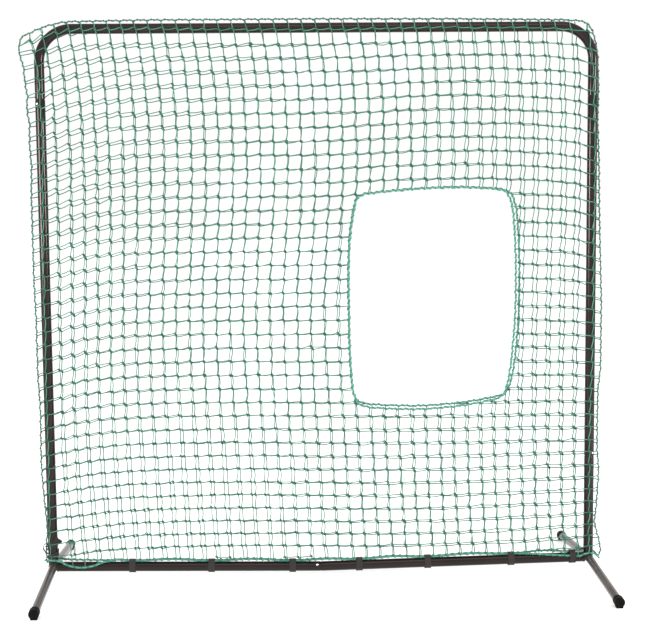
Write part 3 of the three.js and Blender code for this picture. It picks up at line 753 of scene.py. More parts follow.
# ======================= foot caps =======================
def revolve(profile, sides=56):
    """profile: [(radius, along)] from axis to axis; returns verts, quads, tris in a local frame along +z."""
    prof = [p for p in profile]
    V, rows = [], []
    for r, z in prof:
        if r < 1e-6:
            rows.append([len(V)]); V.append((0, 0, z))
        else:
            rows.append(list(range(len(V), len(V) + sides)))
            V += [(r * math.cos(2 * math.pi * k / sides), r * math.sin(2 * math.pi * k / sides), z) for k in range(sides)]
    Q, Tt = [], []
    for a, b in zip(rows, rows[1:]):
        for k in range(sides):
            k2 = (k + 1) % sides
            if len(a) == 1:
                Tt.append((a[0], b[k], b[k2]))
            elif len(b) == 1:
                Tt.append((a[k2], a[k], b[0]))
            else:
                Q.append((a[k], b[k], b[k2], a[k2]))
    return np.array(V, float), np.array(Q, int).reshape(-1, 4), np.array(Tt, int).reshape(-1, 3)


def place(V, origin, z_dir, x_dir):
    z = unit(np.asarray(z_dir, float))
    x = np.asarray(x_dir, float)
    x = unit(x - z * (x @ z))
    y = np.cross(z, x)
    return np.asarray(origin, float) + V[:, :1] * x + V[:, 1:2] * y + V[:, 2:3] * z


for side, sn_ in ((-1, "left"), (1, "right")):
    for end, en in ((-1, "front"), (1, "back")):
        nm = f"foot_cap_{sn_}_{en}"
        x = side * POST_X
        tip = np.array([x, end * CAP_Y, TIP_Z])
        d = np.array([0, end * math.cos(SLOPE), -math.sin(SLOPE)])
        prof = [(0, -0.9), (8.5, -0.9), (9.2, -0.5), (10.0, 0.0), (CAP_R - 3.4, 0), (CAP_R - 2.3, -0.25), (CAP_R - 1.0, -1.1), (CAP_R - 0.25, -2.4), (CAP_R, -4.0),
                (CAP_R, -14), (CAP_R - 0.35, -14.6), (CAP_R - 0.35, -16.0), (CAP_R, -16.6), (CAP_R, -20), (CAP_R - 0.35, -20.6), (CAP_R - 0.35, -22.0), (CAP_R, -22.6),
                (CAP_R, -CAP_LEN + 2.2), (CAP_R - 0.25, -CAP_LEN + 0.9), (CAP_R - 1.1, -CAP_LEN + 0.15), (CAP_R - 2.2, -CAP_LEN), (FOOT_R + GAP + 0.5, -CAP_LEN), (FOOT_R + GAP, -CAP_LEN + 0.6),
                (FOOT_R + GAP, -CAP_END + 0.1), (0, -CAP_END + 0.1)]
        v, q, t = revolve(prof)
        v = place(v, tip, d, (1, 0, 0))
        # flat sole: the underside is pressed flat on the floor and squared a little
        low = v[:, 2] < 9.0
        outer = np.hypot(v[:, 0] - x, (v[:, 2] - (CORNER_Z - abs(v[:, 1]) * math.tan(SLOPE)))) > FOOT_R + 1.2
        k = low & outer
        w = np.clip((9.0 - v[:, 2]) / 8.0, 0, 1) * k
        v[:, 0] = np.where(k, x + np.sign(v[:, 0] - x) * np.maximum(np.abs(v[:, 0] - x), np.minimum(12.0, np.abs(v[:, 0] - x) * (1 + 0.5 * w))), v[:, 0])
        v[:, 2] = np.where(outer & (v[:, 2] < 1.6), 0.0, v[:, 2])
        flat_y = outer & (v[:, 2] < 6) & (np.abs(v[:, 1]) > CAP_Y - 34)
        v[:, 2] = np.where(flat_y & (np.abs(v[:, 0] - x) < 12.2), 0.0, v[:, 2])
        v[:, 2] = np.maximum(v[:, 2], 0.0)
        make_mesh(nm + "_moulding", v, [q, t], [RUBBER], sharp=38, slot="cap_rubber", replaces=(nm,))

# ======================= snap buttons and springs =======================
for name, (c, a, rr) in JOINTS.items():
    # the pin: a drawn button with a rounded crown and a fine collar where it is riveted to the leg
    prof = [(0, 12.4), (2.6, 12.4), (2.9, 12.6), (3.0, 12.85), (BUTTON_R - 0.2, 12.95), (BUTTON_R, 13.2), (BUTTON_R, TUBE_R + 1.2), (BUTTON_R - 0.12, TUBE_R + 1.8), (BUTTON_R - 0.5, TUBE_R + 2.4),
            (BUTTON_R - 1.2, TUBE_R + 2.95), (BUTTON_R - 2.2, TUBE_R + 3.25), (BUTTON_R - 3.4, TUBE_R + 3.38), (0, TUBE_R + 3.4)]
    v, q, t = revolve(prof, 40)
    v = place(v, c, rr, a)
    bag = Bag()
    bag.add(v, q, t, 0)
    # the leg of the spring under it, with rounded edges
    third = np.cross(a, rr)
    legs = [(-7, 13.3), (-2, 13.3), (2, 13.3), (6, 13.3), (19.7, 13.3 + (19.7 - 6) / 36 * (2.2 - 13.3))]
    sec = [(-5.5, -0.15), (-5.25, -0.4), (5.25, -0.4), (5.5, -0.15), (5.5, 0.15), (5.25, 0.4), (-5.25, 0.4), (-5.5, 0.15)]
    S = catmull([(s_, q_, 0) for s_, q_ in legs], 4)[:, :2]
    d2 = unit(np.gradient(S, axis=0))
    nn = np.stack([-d2[:, 1], d2[:, 0]], 1)
    V = []
    for (s_, q_), n2 in zip(S, nn):
        for w_, h_ in sec:
            V.append(c + a * (s_ + n2[0] * h_) + rr * (q_ + n2[1] * h_) + third * w_)
    V = np.array(V)
    m_ = len(sec)
    k, s = np.meshgrid(np.arange(len(S) - 1), np.arange(m_), indexing="ij")
    s2 = (s + 1) % m_
    Q = np.stack([k * m_ + s, k * m_ + s2, (k + 1) * m_ + s2, (k + 1) * m_ + s], -1).reshape(-1, 4)
    fan = lambda b, rev: np.array([(b, b + i + (2 if rev else 1), b + i + (1 if rev else 2)) for i in range(m_ - 2)])
    bag.add(V, Q, np.concatenate([fan(0, False), fan((len(S) - 1) * m_, True)]), 1)
    o = bag.build(f"button_{name}_pin_and_leg", [ZINC, SPRING], sharp=40, body=f"button_{name}", slot="zinc_plate", replaces=(f"snap_button_{name}",))
    me = o.data
    cad_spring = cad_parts[f"button_spring_{name}"]
    cad_spring.data.materials.clear()
    cad_spring.data.materials.append(SPRING)


# ======================= net =======================
# How the net hangs. The mesh is 52.5 mm square; DRAPE gives, for a 9 x 9 grid of controls, where
# the uniform mesh is pulled to, in mm. It is fitted to measured knot positions, not simulated.
P0, I0, I1, J0, J1 = 52.5, -14, 28, -10, 31
DRAPE = np.array([
    [(-315, 1623), (-287, 1620), (-267, 1616), (-267, 1613), (-272, 1614), (-268, 1610), (-260, 1611), (-241, 1624), (-221, 1639)],
    [(-324, 1632), (-296, 1638), (-270, 1636), (-269, 1634), (-279, 1635), (-285, 1632), (-271, 1633), (-251, 1640), (-234, 1652)],
    [(-329, 1629), (-302, 1641), (-275, 1642), (-271, 1643), (-290, 1641), (-291, 1640), (-270, 1641), (-258, 1649), (-244, 1662)],
    [(-329, 1623), (-301, 1640), (-274, 1638), (-274, 1640), (-308, 1641), (-291, 1638), (-265, 1640), (-261, 1648), (-244, 1661)],
    [(-328, 1622), (-300, 1636), (-275, 1636), (-279, 1639), (-309, 1638), (-291, 1629), (-266, 1627), (-257, 1635), (-240, 1652)],
    [(-321, 1628), (-295, 1647), (-276, 1658), (-275, 1655), (-287, 1638), (-280, 1623), (-266, 1619), (-255, 1630), (-239, 1654)],
    [(-310, 1631), (-287, 1642), (-272, 1648), (-268, 1647), (-272, 1632), (-274, 1623), (-269, 1628), (-257, 1644), (-243, 1668)],
    [(-298, 1623), (-284, 1621), (-274, 1619), (-269, 1619), (-270, 1616), (-273, 1619), (-272, 1633), (-264, 1654), (-253, 1680)],
    [(-287, 1611), (-282, 1599), (-277, 1591), (-273, 1590), (-271, 1598), (-272, 1613), (-273, 1636), (-270, 1663), (-265, 1691)],
], float)
# Half of the slip between the two layers, in mm: the back one lies this far to the right and down.
SLIP_I = [-13, -5, 3, 11, 23]
SLIP_J = [-8, 1, 9, 17, 25]
SLIP = np.array([  # rows down, columns across
    [(1.3, 7.0), (1.8, 6.4), (0.6, 2.4), (1.2, 1.0), (7.4, 0.8)],
    [(3.0, 7.4), (1.8, 3.8), (0.6, 0.8), (1.8, 1.8), (9.0, 2.2)],
    [(3.4, 3.8), (1.4, 1.6), (1.0, 0.2), (5.0, 1.2), (9.0, 3.0)],
    [(4.5, 1.6), (3.4, 0.8), (1.2, 0.8), (4.5, 3.4), (6.8, 3.8)],
    [(7.6, -1.0), (8.4, -1.0), (5.2, 0.8), (1.2, 3.4), (2.0, 4.5)],
])
# The sleeve's outline: left and right edges as (z, x), top edge as (x, z).
EDGE_L = [(51, -1070), (123, -1074), (208, -1066), (362, -1078), (472, -1083), (674, -1080), (810, -1086), (1026, -1086), (1160, -1090), (1494, -1090),
          (1625, -1086), (1681, -1092), (1767, -1089), (1793, -1098), (1872, -1094), (1942, -1105), (1968, -1104), (2020, -1118), (2046, -1122), (2086, -1106), (2116, -1084)]
EDGE_R = [(51, 1091), (93, 1097), (196, 1071), (260, 1078), (412, 1086), (475, 1079), (606, 1078), (732, 1080), (803, 1089), (1072, 1089),
          (1215, 1084), (1431, 1077), (1614, 1074), (1759, 1067), (1891, 1070), (1943, 1067), (2016, 1064), (2073, 1050), (2097, 1045), (2123, 1030)]
EDGE_T = [(-1124, 2060), (-1106, 2086), (-1046, 2115), (-980, 2134), (-939, 2140), (-650, 2145), (0, 2146), (500, 2144), (947, 2138), (1028, 2124), (1043, 2098), (1075, 2060)]


def spline_weights(t, n):
    k = 3
    kn = np.r_[[0.0] * k, np.linspace(0, 1, n - k + 1), [1.0] * k]
    t = np.clip(t, 0, 1 - 1e-9)
    B = [((t >= kn[a]) & (t < kn[a + 1])).astype(float) for a in range(len(kn) - 1)]
    for d in range(1, k + 1):
        nb = []
        for a in range(len(kn) - 1 - d):
            w = np.zeros_like(t)
            if kn[a + d] > kn[a]:
                w = w + (t - kn[a]) / (kn[a + d] - kn[a]) * B[a]
            if kn[a + d + 1] > kn[a + 1]:
                w = w + (kn[a + d + 1] - t) / (kn[a + d + 1] - kn[a + 1]) * B[a + 1]
            nb.append(w)
        B = nb
    return np.stack(B, 1)


def mesh_at(i, j):
    """Where knot (i, j) of the middle surface hangs: (x, z) in mm, arrays of the same shape."""
    i, j = np.broadcast_arrays(np.asarray(i, float), np.asarray(j, float))
    shape = i.shape
    i, j = i.ravel(), j.ravel()

    def inner(i, j):
        u, v = (i - I0) / (I1 - I0), (j - J0) / (J1 - J0)
        D = np.einsum("na,nb,abk->nk", spline_weights(u, 9), spline_weights(v, 9), DRAPE)
        return D + np.stack([i * P0, -j * P0], 1)

    ic = np.clip(i, I0, I1)
    out = inner(ic, j)
    step = inner(np.full_like(i, I0 + 1), j) - inner(np.full_like(i, I0), j)
    out = out + (i - ic)[:, None] * step
    return out[:, 0].reshape(shape), out[:, 1].reshape(shape)


def slip_at(i, j):
    i, j = np.asarray(i, float), np.asarray(j, float)
    out = []
    for k in range(2):
        rows = np.stack([np.interp(i.ravel(), SLIP_I, SLIP[r, :, k]) for r in range(5)])
        jj = np.clip(j.ravel(), SLIP_J[0], SLIP_J[-1])
        q = np.interp(jj, SLIP_J, np.arange(5))
        a = np.clip(np.floor(q).astype(int), 0, 3)
        f = q - a
        f = f * f * (3 - 2 * f)
        n = np.arange(rows.shape[1])
        out.append((rows[a, n] * (1 - f) + rows[a + 1, n] * f).reshape(i.shape))
    return out


def rail_z(x):
    x = np.asarray(x, float)
    return np.where(x < RAIL_MID[0], CORNER_Z - RAIL_SAG * (x + POST_X) / (RAIL_MID[0] + POST_X), CORNER_Z - RAIL_SAG * (POST_X - x) / (POST_X - RAIL_MID[0]))


HOLE_FRONT = np.array([
    (145, 1474), (126, 1400), (115, 1319), (110, 1212), (109, 1120), (110, 1039), (112, 889), (117, 800), (125, 722),
    (139, 688), (170, 672), (227, 665), (300, 661), (359, 659), (448, 662), (561, 673), (655, 690), (697, 703),
    (715, 732), (732, 810), (742, 907), (749, 1000), (752, 1078), (752, 1209), (747, 1339), (737, 1438),
    (716, 1490), (680, 1503), (625, 1508), (514, 1512), (384, 1508), (285, 1501), (197, 1492), (163, 1486)], float)
u_h = np.clip((HOLE_FRONT[:, 0] - 300) / 450, 0, 1)
w_h = np.clip((900 - HOLE_FRONT[:, 1]) / 230, 0, 1)
HOLE_BACK = HOLE_FRONT + np.stack([22 * u_h, 7 * w_h], 1)


def hole_path(points, y):
    p = np.stack([points[:, 0], np.full(len(points), y), points[:, 1]], 1)
    return catmull(p, 8, closed=True)


def inside(poly, x, z):
    """Which points lie inside a closed outline."""
    x, z = np.asarray(x), np.asarray(z)
    c = np.zeros(x.shape, bool)
    X, Z = poly[:, 0], poly[:, 1]
    X2, Z2 = np.roll(X, -1), np.roll(Z, -1)
    for a, b, a2, b2 in zip(X, Z, X2, Z2):
        hit = ((b > z) != (b2 > z)) & (x < (a2 - a) * (z - b) / (b2 - b + 1e-12) + a)
        c ^= hit
    return c


def border_path(front):
    f = -1 if front else 1
    p = [(-1079, f * AROUND_Y, 90), (-1048, f * AROUND_Y, 88), (-1020, f * AROUND_Y, 84)]
    if front:
        p += [(-990, f * AROUND_Y, 68), (-940, f * AROUND_Y, 58), (-890, f * (AROUND_Y - 1), 64), (-850, f * 16, 77)]
    else:
        p += [(-1000, f * 19, 83), (-975, f * 9, 83), (-940, f * 6, 82)]
    on_top = [-810, -755, -434, -118, -8, 144, 412, 700, 762] + ([] if front else [965, 1003])
    for x in on_top:
        p.append((x, f * ROPE_Y, float(rail_z(x)) + ROPE_UP))
    if front:  # it slides down the rail's face towards the right corner, and over the foot bar
        p += [(x, f * y, float(rail_z(x)) + up) for x, y, up in ((810, 9, 22.1), (860, 14.5, 19.0), (920, 19, 14.4), (985, 21.8, 10.2))]
        p += [(1010, f * 24.4, 67), (1028, f * 25, 74.5), (1048, f * 25.4, 78.4), (1066, f * 24.5, 76), (1080, f * 17, 65), (1091, f * 8, 53)]
    else:
        p += [(1013, f * 10, 84), (1023, f * 18, 85), (1034, f * (AROUND_Y - 0.6), 86), (1048, f * AROUND_Y, 86), (1072, f * 20, 77), (1090, f * 7, 58)]
    # between the straps the rope lifts off the rail a little, in shallow arches
    q = catmull(p, 10)
    q, _ = resample(q, 6.0)
    x = q[:, 0]
    ties = np.array([-850] + STRAP_X)
    lift = np.zeros(len(x))
    for a, b in zip(ties, ties[1:]):
        s = np.clip((x - a - 14) / (b - a - 28), 0, 1)
        h = 5.5 if b - a > 200 else 3.5
        if b <= 740 or not front:
            lift += np.where((x > a) & (x < b), h * np.sin(math.pi * s) ** 2, 0)
    q[:, 2] += lift
    return q


BORDER = {True: border_path(True), False: border_path(False)}


def outline_y(x, z, front):
    """How far from the mid plane the net lies: flat over the frame, turning in to the sleeve's edge outside it."""
    cx = POST_X - BEND_R
    cz = TOP_Z - BEND_R
    dx, dz = np.maximum(np.abs(x) - cx, 0), np.maximum(z - cz, 0)
    out = np.hypot(dx, dz) - BEND_R
    reach_side = np.where(x < 0, np.abs(np.interp(z, [e[0] for e in EDGE_L], [e[1] for e in EDGE_L])), np.interp(z, [e[0] for e in EDGE_R], [e[1] for e in EDGE_R])) - POST_X
    reach_top = np.interp(x, [e[0] for e in EDGE_T], [e[1] for e in EDGE_T]) - TOP_Z
    reach = np.where(dx > dz, reach_side, reach_top)
    reach = np.maximum(reach, 24.0)
    s = np.clip(out / reach, 0, 1)
    return NET_Y * np.sqrt(np.maximum(0, 1 - s * s))


def knot_paths():
    """The two twines of one knot, round each other, in its own (right, out, up)."""
    wrap = [(-2.0, -0.6, 5.8), (0.8, 1.7, 3.6), (3.4, 1.0, 1.4), (3.0, -2.3, -0.8), (-1.7, -2.7, 0.6), (-4.2, -0.6, 1.6), (-3.0, 1.9, -0.8), (0.4, 1.9, -3.0), (3.2, 0.0, -5.6)]
    lead = [(-6.6, 0.0, 5.2), (-3.4, -0.5, 3.2), (0.0, -0.6, 0.1), (3.4, -0.4, -3.0), (6.6, 0.0, -5.2)]
    return catmull(wrap, 2), np.array(lead)


WRAP, LEAD = knot_paths()
LEAD_D = np.array([6.2, -5.0])       # where the across twine leaves a knot, from its middle: right, up
DROP_TOP, DROP_LOW = np.array([-2.0, 5.4]), np.array([3.2, -5.2])
TWINE_R = 1.95
I_ALL = np.arange(-16, 27)
J_ALL = np.arange(-10, 32)


def net_layer(front):
    rg = np.random.default_rng(11 if front else 23)
    sgn = -1.0 if front else 1.0
    I, J = np.meshgrid(I_ALL, J_ALL, indexing="ij")
    X, Z = mesh_at(I, J)
    sx, sz = slip_at(I, J)
    X = X + sgn * sx
    Z = Z - sgn * sz
    # each layer is nearer to, or further from, where it was measured from than the mid plane is
    k = 1 + sgn * NET_Y / 5736.0
    X = -226 + (X + 226) * k
    Z = 1516 + (Z - 1516) * k
    X += rg.normal(0, 1.3, X.shape)
    Z += rg.normal(0, 1.3, Z.shape)
    # where the twines lie on the tubes they keep to them: the posts' middles, and the top rail's face
    smooth = lambda t: np.clip(t, 0, 1) ** 2 * (3 - 2 * np.clip(t, 0, 1))
    wl, wr, wt = smooth((-700 - X) / 300), smooth((X - 780) / 240), smooth((Z - 1750) / 300)
    X = X + wl * np.interp(Z, [300, 600, 900, 1200], [0, 2.5, 6.5, 9.5]) + wr * np.interp(Z, [1250, 1500, 1800, 2000], [0, 2.5, 5.0, 7.5])
    Z = Z + wt * np.interp(X, [-1048, -500, 0, 500, 1048], [-6.5, -3.5, -1.0, 0.8, 2.3])
    # the outermost columns and the top row lie on the sleeve's edge
    el = lambda z: np.interp(z, [e[0] for e in EDGE_L], [e[1] for e in EDGE_L])
    er = lambda z: np.interp(z, [e[0] for e in EDGE_R], [e[1] for e in EDGE_R])
    et = lambda x: np.interp(x, [e[0] for e in EDGE_T], [e[1] for e in EDGE_T])
    for col, room in ((2, 44), (1, 21)):
        X[col] = np.maximum(X[col], el(Z[col]) + room)
    for col, room in ((-3, 44), (-2, 21)):
        X[col] = np.minimum(X[col], er(Z[col]) - room)
    X[1] = np.interp(Z[1], [60, 300, 900, 1300, 1600, 1750, 1900, 1930, 1970, 2015, 2063, 2090], [-1056, -1054, -1052, -1050, -1044, -1042, -1048, -1049, -1053, -1060, -1074, -1080]) + rg.normal(0, 1.2, X.shape[1])
    X[-2] = 1048 + np.interp(Z[-2], [60, 300, 640, 820, 1300, 1700, 1760, 1860, 1910, 1970, 2023, 2056, 2090], [-3, -5, -5, 2.5, 3.5, 5.4, 2, -1, 0, -5, -11.5, -17.7, -24]) + rg.normal(0, 1.2, X.shape[1])
    sag = np.interp(J[0], [-9, -8, 6, 12, 24, 30], [0, 1, 1, 0.45, 0, -0.2])
    Z[-3] -= 2 * sag
    Z[-2] -= 14 * sag
    Z[-1] -= 21 * sag
    X[0], X[-1] = el(Z[0]), er(Z[-1])
    Z[:, 0] = et(np.clip(X[:, 0], -1106, 1043))
    Z[:, 1] += np.interp(X[:, 1], [-1000, -900, 0, 900, 1000], [0, 9, 7, 5, 0])
    Z[:, 1] = np.minimum(Z[:, 1], Z[:, 0] - 30)
    X[1, 0] = -1080
    Z[1, 0] = et(-1080)
    X[0, 0], Z[0, 0] = -1106, 2088
    X[-1, 0], Z[-1, 0] = 1042, 2100
    Z[0, 1] = min(Z[0, 1], 2052)
    X[0, 1] = el(Z[0, 1])
    # depth: over the tubes it touches them, and between them it hangs a little nearer the other layer
    Y = outline_y(X, Z, front)
    mid = np.clip(np.minimum(np.minimum(X + 1000, 1000 - X), np.minimum(Z - 120, 2060 - Z)) / 300, 0, 1)
    wave = np.sin(X / 173.0 + (0 if front else 1.1)) * np.sin(Z / 211.0 + (0.4 if front else 1.9))
    Y = Y - mid * (3.0 - 2.2 * wave) + rg.normal(0, 0.7, Y.shape) * (mid > 0)
    Y[0] = Y[-1] = 0
    Y[:, 0] = 0
    Y = sgn * Y
    G = np.stack([X, Y, Z], -1)

    hole_pts = HOLE_FRONT if front else HOLE_BACK
    poly3 = hole_path(hole_pts, sgn * NET_Y)
    poly = poly3[:, [0, 2]]
    mid_hole = poly.mean(0)
    ring_in = mid_hole + (poly - mid_hole) * 1.004
    gone = inside(ring_in, X, Z)
    # rows that would lie on or under the border rope are left out: their columns end in it
    bp = BORDER[front]
    order = np.argsort(bp[:, 0])
    rope_z = np.interp(X, bp[order, 0], bp[order, 2])
    rope_y = np.interp(X, bp[order, 0], bp[order, 1])
    under = Z < rope_z + 15
    dead = gone | under

    # the knots are dragged more where the mesh hangs from the top left, and hardly at the lower right
    tug = np.interp(X, [-1000, -200, 400, 1000], [1.0, 0.6, 0.42, 0.3]) * np.interp(Z, [100, 700, 1300, 2000], [0.5, 0.6, 0.85, 1.0])
    lean = np.interp(X, [-1000, 0, 1000], [0.7, 1.0, 1.15])

    def off(d, up=1.0, right=1.0):
        up, right = np.broadcast_arrays(up, right)
        return np.stack([d[0] * right, 0 * up, d[1] * up], -1)

    def depth(x, z):
        return sgn * outline_y(x, z, front)

    # ---- across ----
    A, B = G[:-1], G[1:]
    dA, dB = dead[:-1], dead[1:]
    edge_a = (I[:-1] == I_ALL[0])
    edge_b = (I[1:] == I_ALL[-1])
    starts = A + np.where(edge_a[..., None], 0, 1) * off(LEAD_D, tug[:-1])
    ends = B - np.where(edge_b[..., None], 0, 1) * off(LEAD_D, tug[1:])
    keep = ~(dA & dB) & ~(under[:-1] | under[1:]) & (J[:-1] > J_ALL[0])
    segs_h = []
    cut_hole(starts, ends, dA & gone[:-1], dB & gone[1:], keep, poly, sgn, segs_h)
    # ---- down ----
    A, B = G[:, :-1], G[:, 1:]
    gA, gB, uB = gone[:, :-1], gone[:, 1:], under[:, 1:]
    uA = under[:, :-1]
    starts = A + off(DROP_LOW, 1.0, lean[:, :-1])
    starts[:, 0] = A[:, 0]
    ends = B + off(DROP_TOP, 1.0, lean[:, 1:])
    rope_pt = np.stack([B[..., 0], rope_y[:, 1:], rope_z[:, 1:]], -1)
    rope_pt[..., 0] = A[..., 0] + (B[..., 0] - A[..., 0]) * np.clip((A[..., 2] - rope_z[:, 1:]) / np.maximum(A[..., 2] - B[..., 2], 1), 0, 1)
    ends = np.where((uB & ~uA)[..., None], rope_pt, ends)
    keep = ~(gA & gB) & ~uA
    # the edge cord stands for the outermost columns
    keep[0] = keep[-1] = False
    segs_v = []
    cut_hole(starts, ends, gA & ~uA, gB & ~uB, keep, poly, sgn, segs_v)
    live = ~dead[1:-1, 1:]
    knots = np.concatenate([G[1:-1, 1:][live], tug[1:-1, 1:][live][:, None], lean[1:-1, 1:][live][:, None]], 1)
    return dict(G=G, across=segs_h, down=segs_v, knots=knots, sgn=sgn, dead=dead)


def cut_hole(starts, ends, a_in, b_in, keep, poly, sgn, out):
    """Keeps what of each twine is outside the pitching hole, ending it at the binding rope."""
    S, E = starts[keep], ends[keep]
    ai, bi = a_in[keep], b_in[keep]
    sel = ai | bi
    whole = ~sel & ~(inside(poly, S[:, 0], S[:, 2]) | inside(poly, E[:, 0], E[:, 2]))
    out.append((S[whole], E[whole], False))
    todo = ~whole
    S, E = S[todo], E[todo]
    res = []
    for s, e in zip(S, E):
        ts = np.linspace(0, 1, 60)
        p = s + (e - s) * ts[:, None]
        ins = inside(poly, p[:, 0], p[:, 2])
        if ins[0] and ins[-1]:
            continue
        if ins[0]:
            k = np.argmax(~ins)
            s = p[k]
            s[1] = sgn * NET_Y
        elif ins[-1]:
            k = np.argmax(ins)
            e = p[k]
            e[1] = sgn * NET_Y
        if np.linalg.norm(e - s) > 7:
            res.append((s, e))
    if res:
        r = np.array(res)
        out.append((r[:, 0], r[:, 1], True))


def twine_paths(S, E, sgn, rg, kind, K=7):
    """Slightly slack twines between two ends; over the tubes they follow the sleeve's curve."""
    t = np.linspace(0, 1, K)[None, :, None]
    P = S[:, None] + (E - S)[:, None] * t
    w = np.sin(math.pi * t[..., 0])
    n = len(S)
    slack = rg.normal(0, 0.9, (n, 1))
    if kind == "across":
        P[..., 2] += w * (slack - 0.9)
    else:
        P[..., 0] += w * (slack + 1.2)
    P[..., 1] += w * rg.normal(0, 0.6, (n, 1))
    # depth from the sleeve's own curve where it goes round the frame
    y = outline_y(P[..., 0], P[..., 2], sgn < 0) * sgn
    near = (np.abs(P[..., 0]) > POST_X - 30) | (P[..., 2] > TOP_Z - 30)
    ends_free = np.abs(P[:, :1, 1]) > NET_Y + 6
    P[..., 1] = np.where(near & (P[..., 2] > 130), y, P[..., 1])
    return P


LAYER_NAMES = ["upper", "upper_middle", "lower_middle", "lower"]
BANDS = [-11, 0, 10, 21, 40]
stats = {}
for front in (True, False):
    L = net_layer(front)
    tag = "front" if front else "back"
    sgn = L["sgn"]
    rg = np.random.default_rng(31 if front else 57)
    zs = L["G"][:, :, 2].mean(0)
    cuts = [9999, zs[10] + 26, zs[20] + 26, zs[31] + 26, -9999]
    for b, nm in enumerate(LAYER_NAMES):
        bag = Bag()
        for S, E, clipped in L["across"]:
            m_ = (S[:, 2] + E[:, 2]) / 2
            k = (m_ < cuts[b]) & (m_ >= cuts[b + 1])
            if k.any():
                P = twine_paths(S[k], E[k], sgn, rg, "across")
                bag.tubes(P, TWINE_R * rg.normal(1, 0.04, (len(P), 1)), 6, np.array([0, 0, 1.0]), rg.choice([0, 0, 1, 2], len(P)))
        for S, E, clipped in L["down"]:
            m_ = (S[:, 2] + E[:, 2]) / 2
            k = (m_ < cuts[b]) & (m_ >= cuts[b + 1])
            if k.any():
                P = twine_paths(S[k], E[k], sgn, rg, "down")
                bag.tubes(P, TWINE_R * rg.normal(1, 0.04, (len(P), 1)), 6, np.array([1.0, 0, 0]), rg.choice([0, 1, 2], len(P)))
        K = L["knots"]
        K = K[(K[:, 2] < cuts[b]) & (K[:, 2] >= cuts[b + 1])]
        if len(K):
            n = len(K)
            ang = rg.normal(0, 0.16, n)
            size = rg.normal(1.0, 0.07, n)
            flip = np.ones(n)
            ca, sa = np.cos(ang), np.sin(ang)
            for path, r_ in ((WRAP, 2.2), (LEAD, 2.1)):
                own = path is LEAD
                Lx = path[None, :, 0] * (size if own else size * K[:, 4])[:, None]
                Ly = path[None, :, 1] * flip[:, None] * size[:, None] * (-sgn)
                Lz = path[None, :, 2] * (size * K[:, 3] if own else size)[:, None]
                P = np.stack([K[:, None, 0] + Lx * ca[:, None] - Lz * sa[:, None], K[:, None, 1] + Ly, K[:, None, 2] + Lx * sa[:, None] + Lz * ca[:, None]], -1)
                bag.tubes(P, r_, 6, np.array([0.35, 0.9, 0.25]), rg.choice([3, 3, 4], n))
        rep = ("net_front_panel" if front else "net_back_panel",) if b == 0 else ()
        o = bag.build(f"net_{tag}_{nm}", TWINES, slot="net_twine", replaces=rep)
        stats[o.name] = (len(o.data.polygons), sum(len(p.vertices) - 2 for p in o.data.polygons))
        o["band"] = b
        L.setdefault("objs", []).append(o)
    stats[tag] = L

# edges of the sleeve: a doubled twine laced through both layers
LF = stats["front"]["G"]


def edge_piece(name, P, replaces):
    bag = Bag()
    laid_rope(bag, P, 3.0, 21.0, strands=2, sides=6, step=5.0, mat=(2, 0))
    C = wrapping(P, 3.0, 26.0, 1.2, per=10, seed=len(name))
    T, A, B = transport(C)
    v, q, t = ring_tube(C, A, B, 1.15, 5, False)
    bag.add(v, q, t, 3)
    return bag.build(name, TWINES, slot="net_twine", replaces=replaces)


def scallop(P, n, depth, axis, sign):
    Q = catmull(P, n)
    k = np.arange(len(Q)) % n / n
    Q[:, axis] += sign * depth * np.sin(math.pi * k)
    return Q


left_edge = LF[0, 1:].copy()
left_edge = left_edge[left_edge[:, 2] > 70]
right_edge = LF[-1, 1:].copy()
right_edge = right_edge[right_edge[:, 2] > 70]
left_edge = np.vstack([left_edge, [(-1071, 0, 74)]])
right_edge = np.vstack([right_edge, [(1089, 0, 66)]])
left_edge[:, 1] = 0
right_edge[:, 1] = 0
edge_piece("net_edge_cord_left", scallop(np.vstack([[(-1108, 0, 2088)], left_edge]), 6, 2.0, 0, -1), ("net_side_edge_left",))
edge_piece("net_edge_cord_right", scallop(np.vstack([[(1043, 0, 2100)], right_edge]), 6, 1.6, 0, 1), ("net_side_edge_right",))
top_edge = LF[:, 0].copy()
top_edge = top_edge[(top_edge[:, 0] > -1100) & (top_edge[:, 0] < 1043)]
top_edge = np.vstack([[(-1107, 0, 2088)], top_edge, [(1043, 0, 2100)]])
top_edge[:, 1] = 0
edge_piece("net_edge_cord_top", scallop(top_edge, 6, 2.5, 2, 1), ("net_top_edge",))

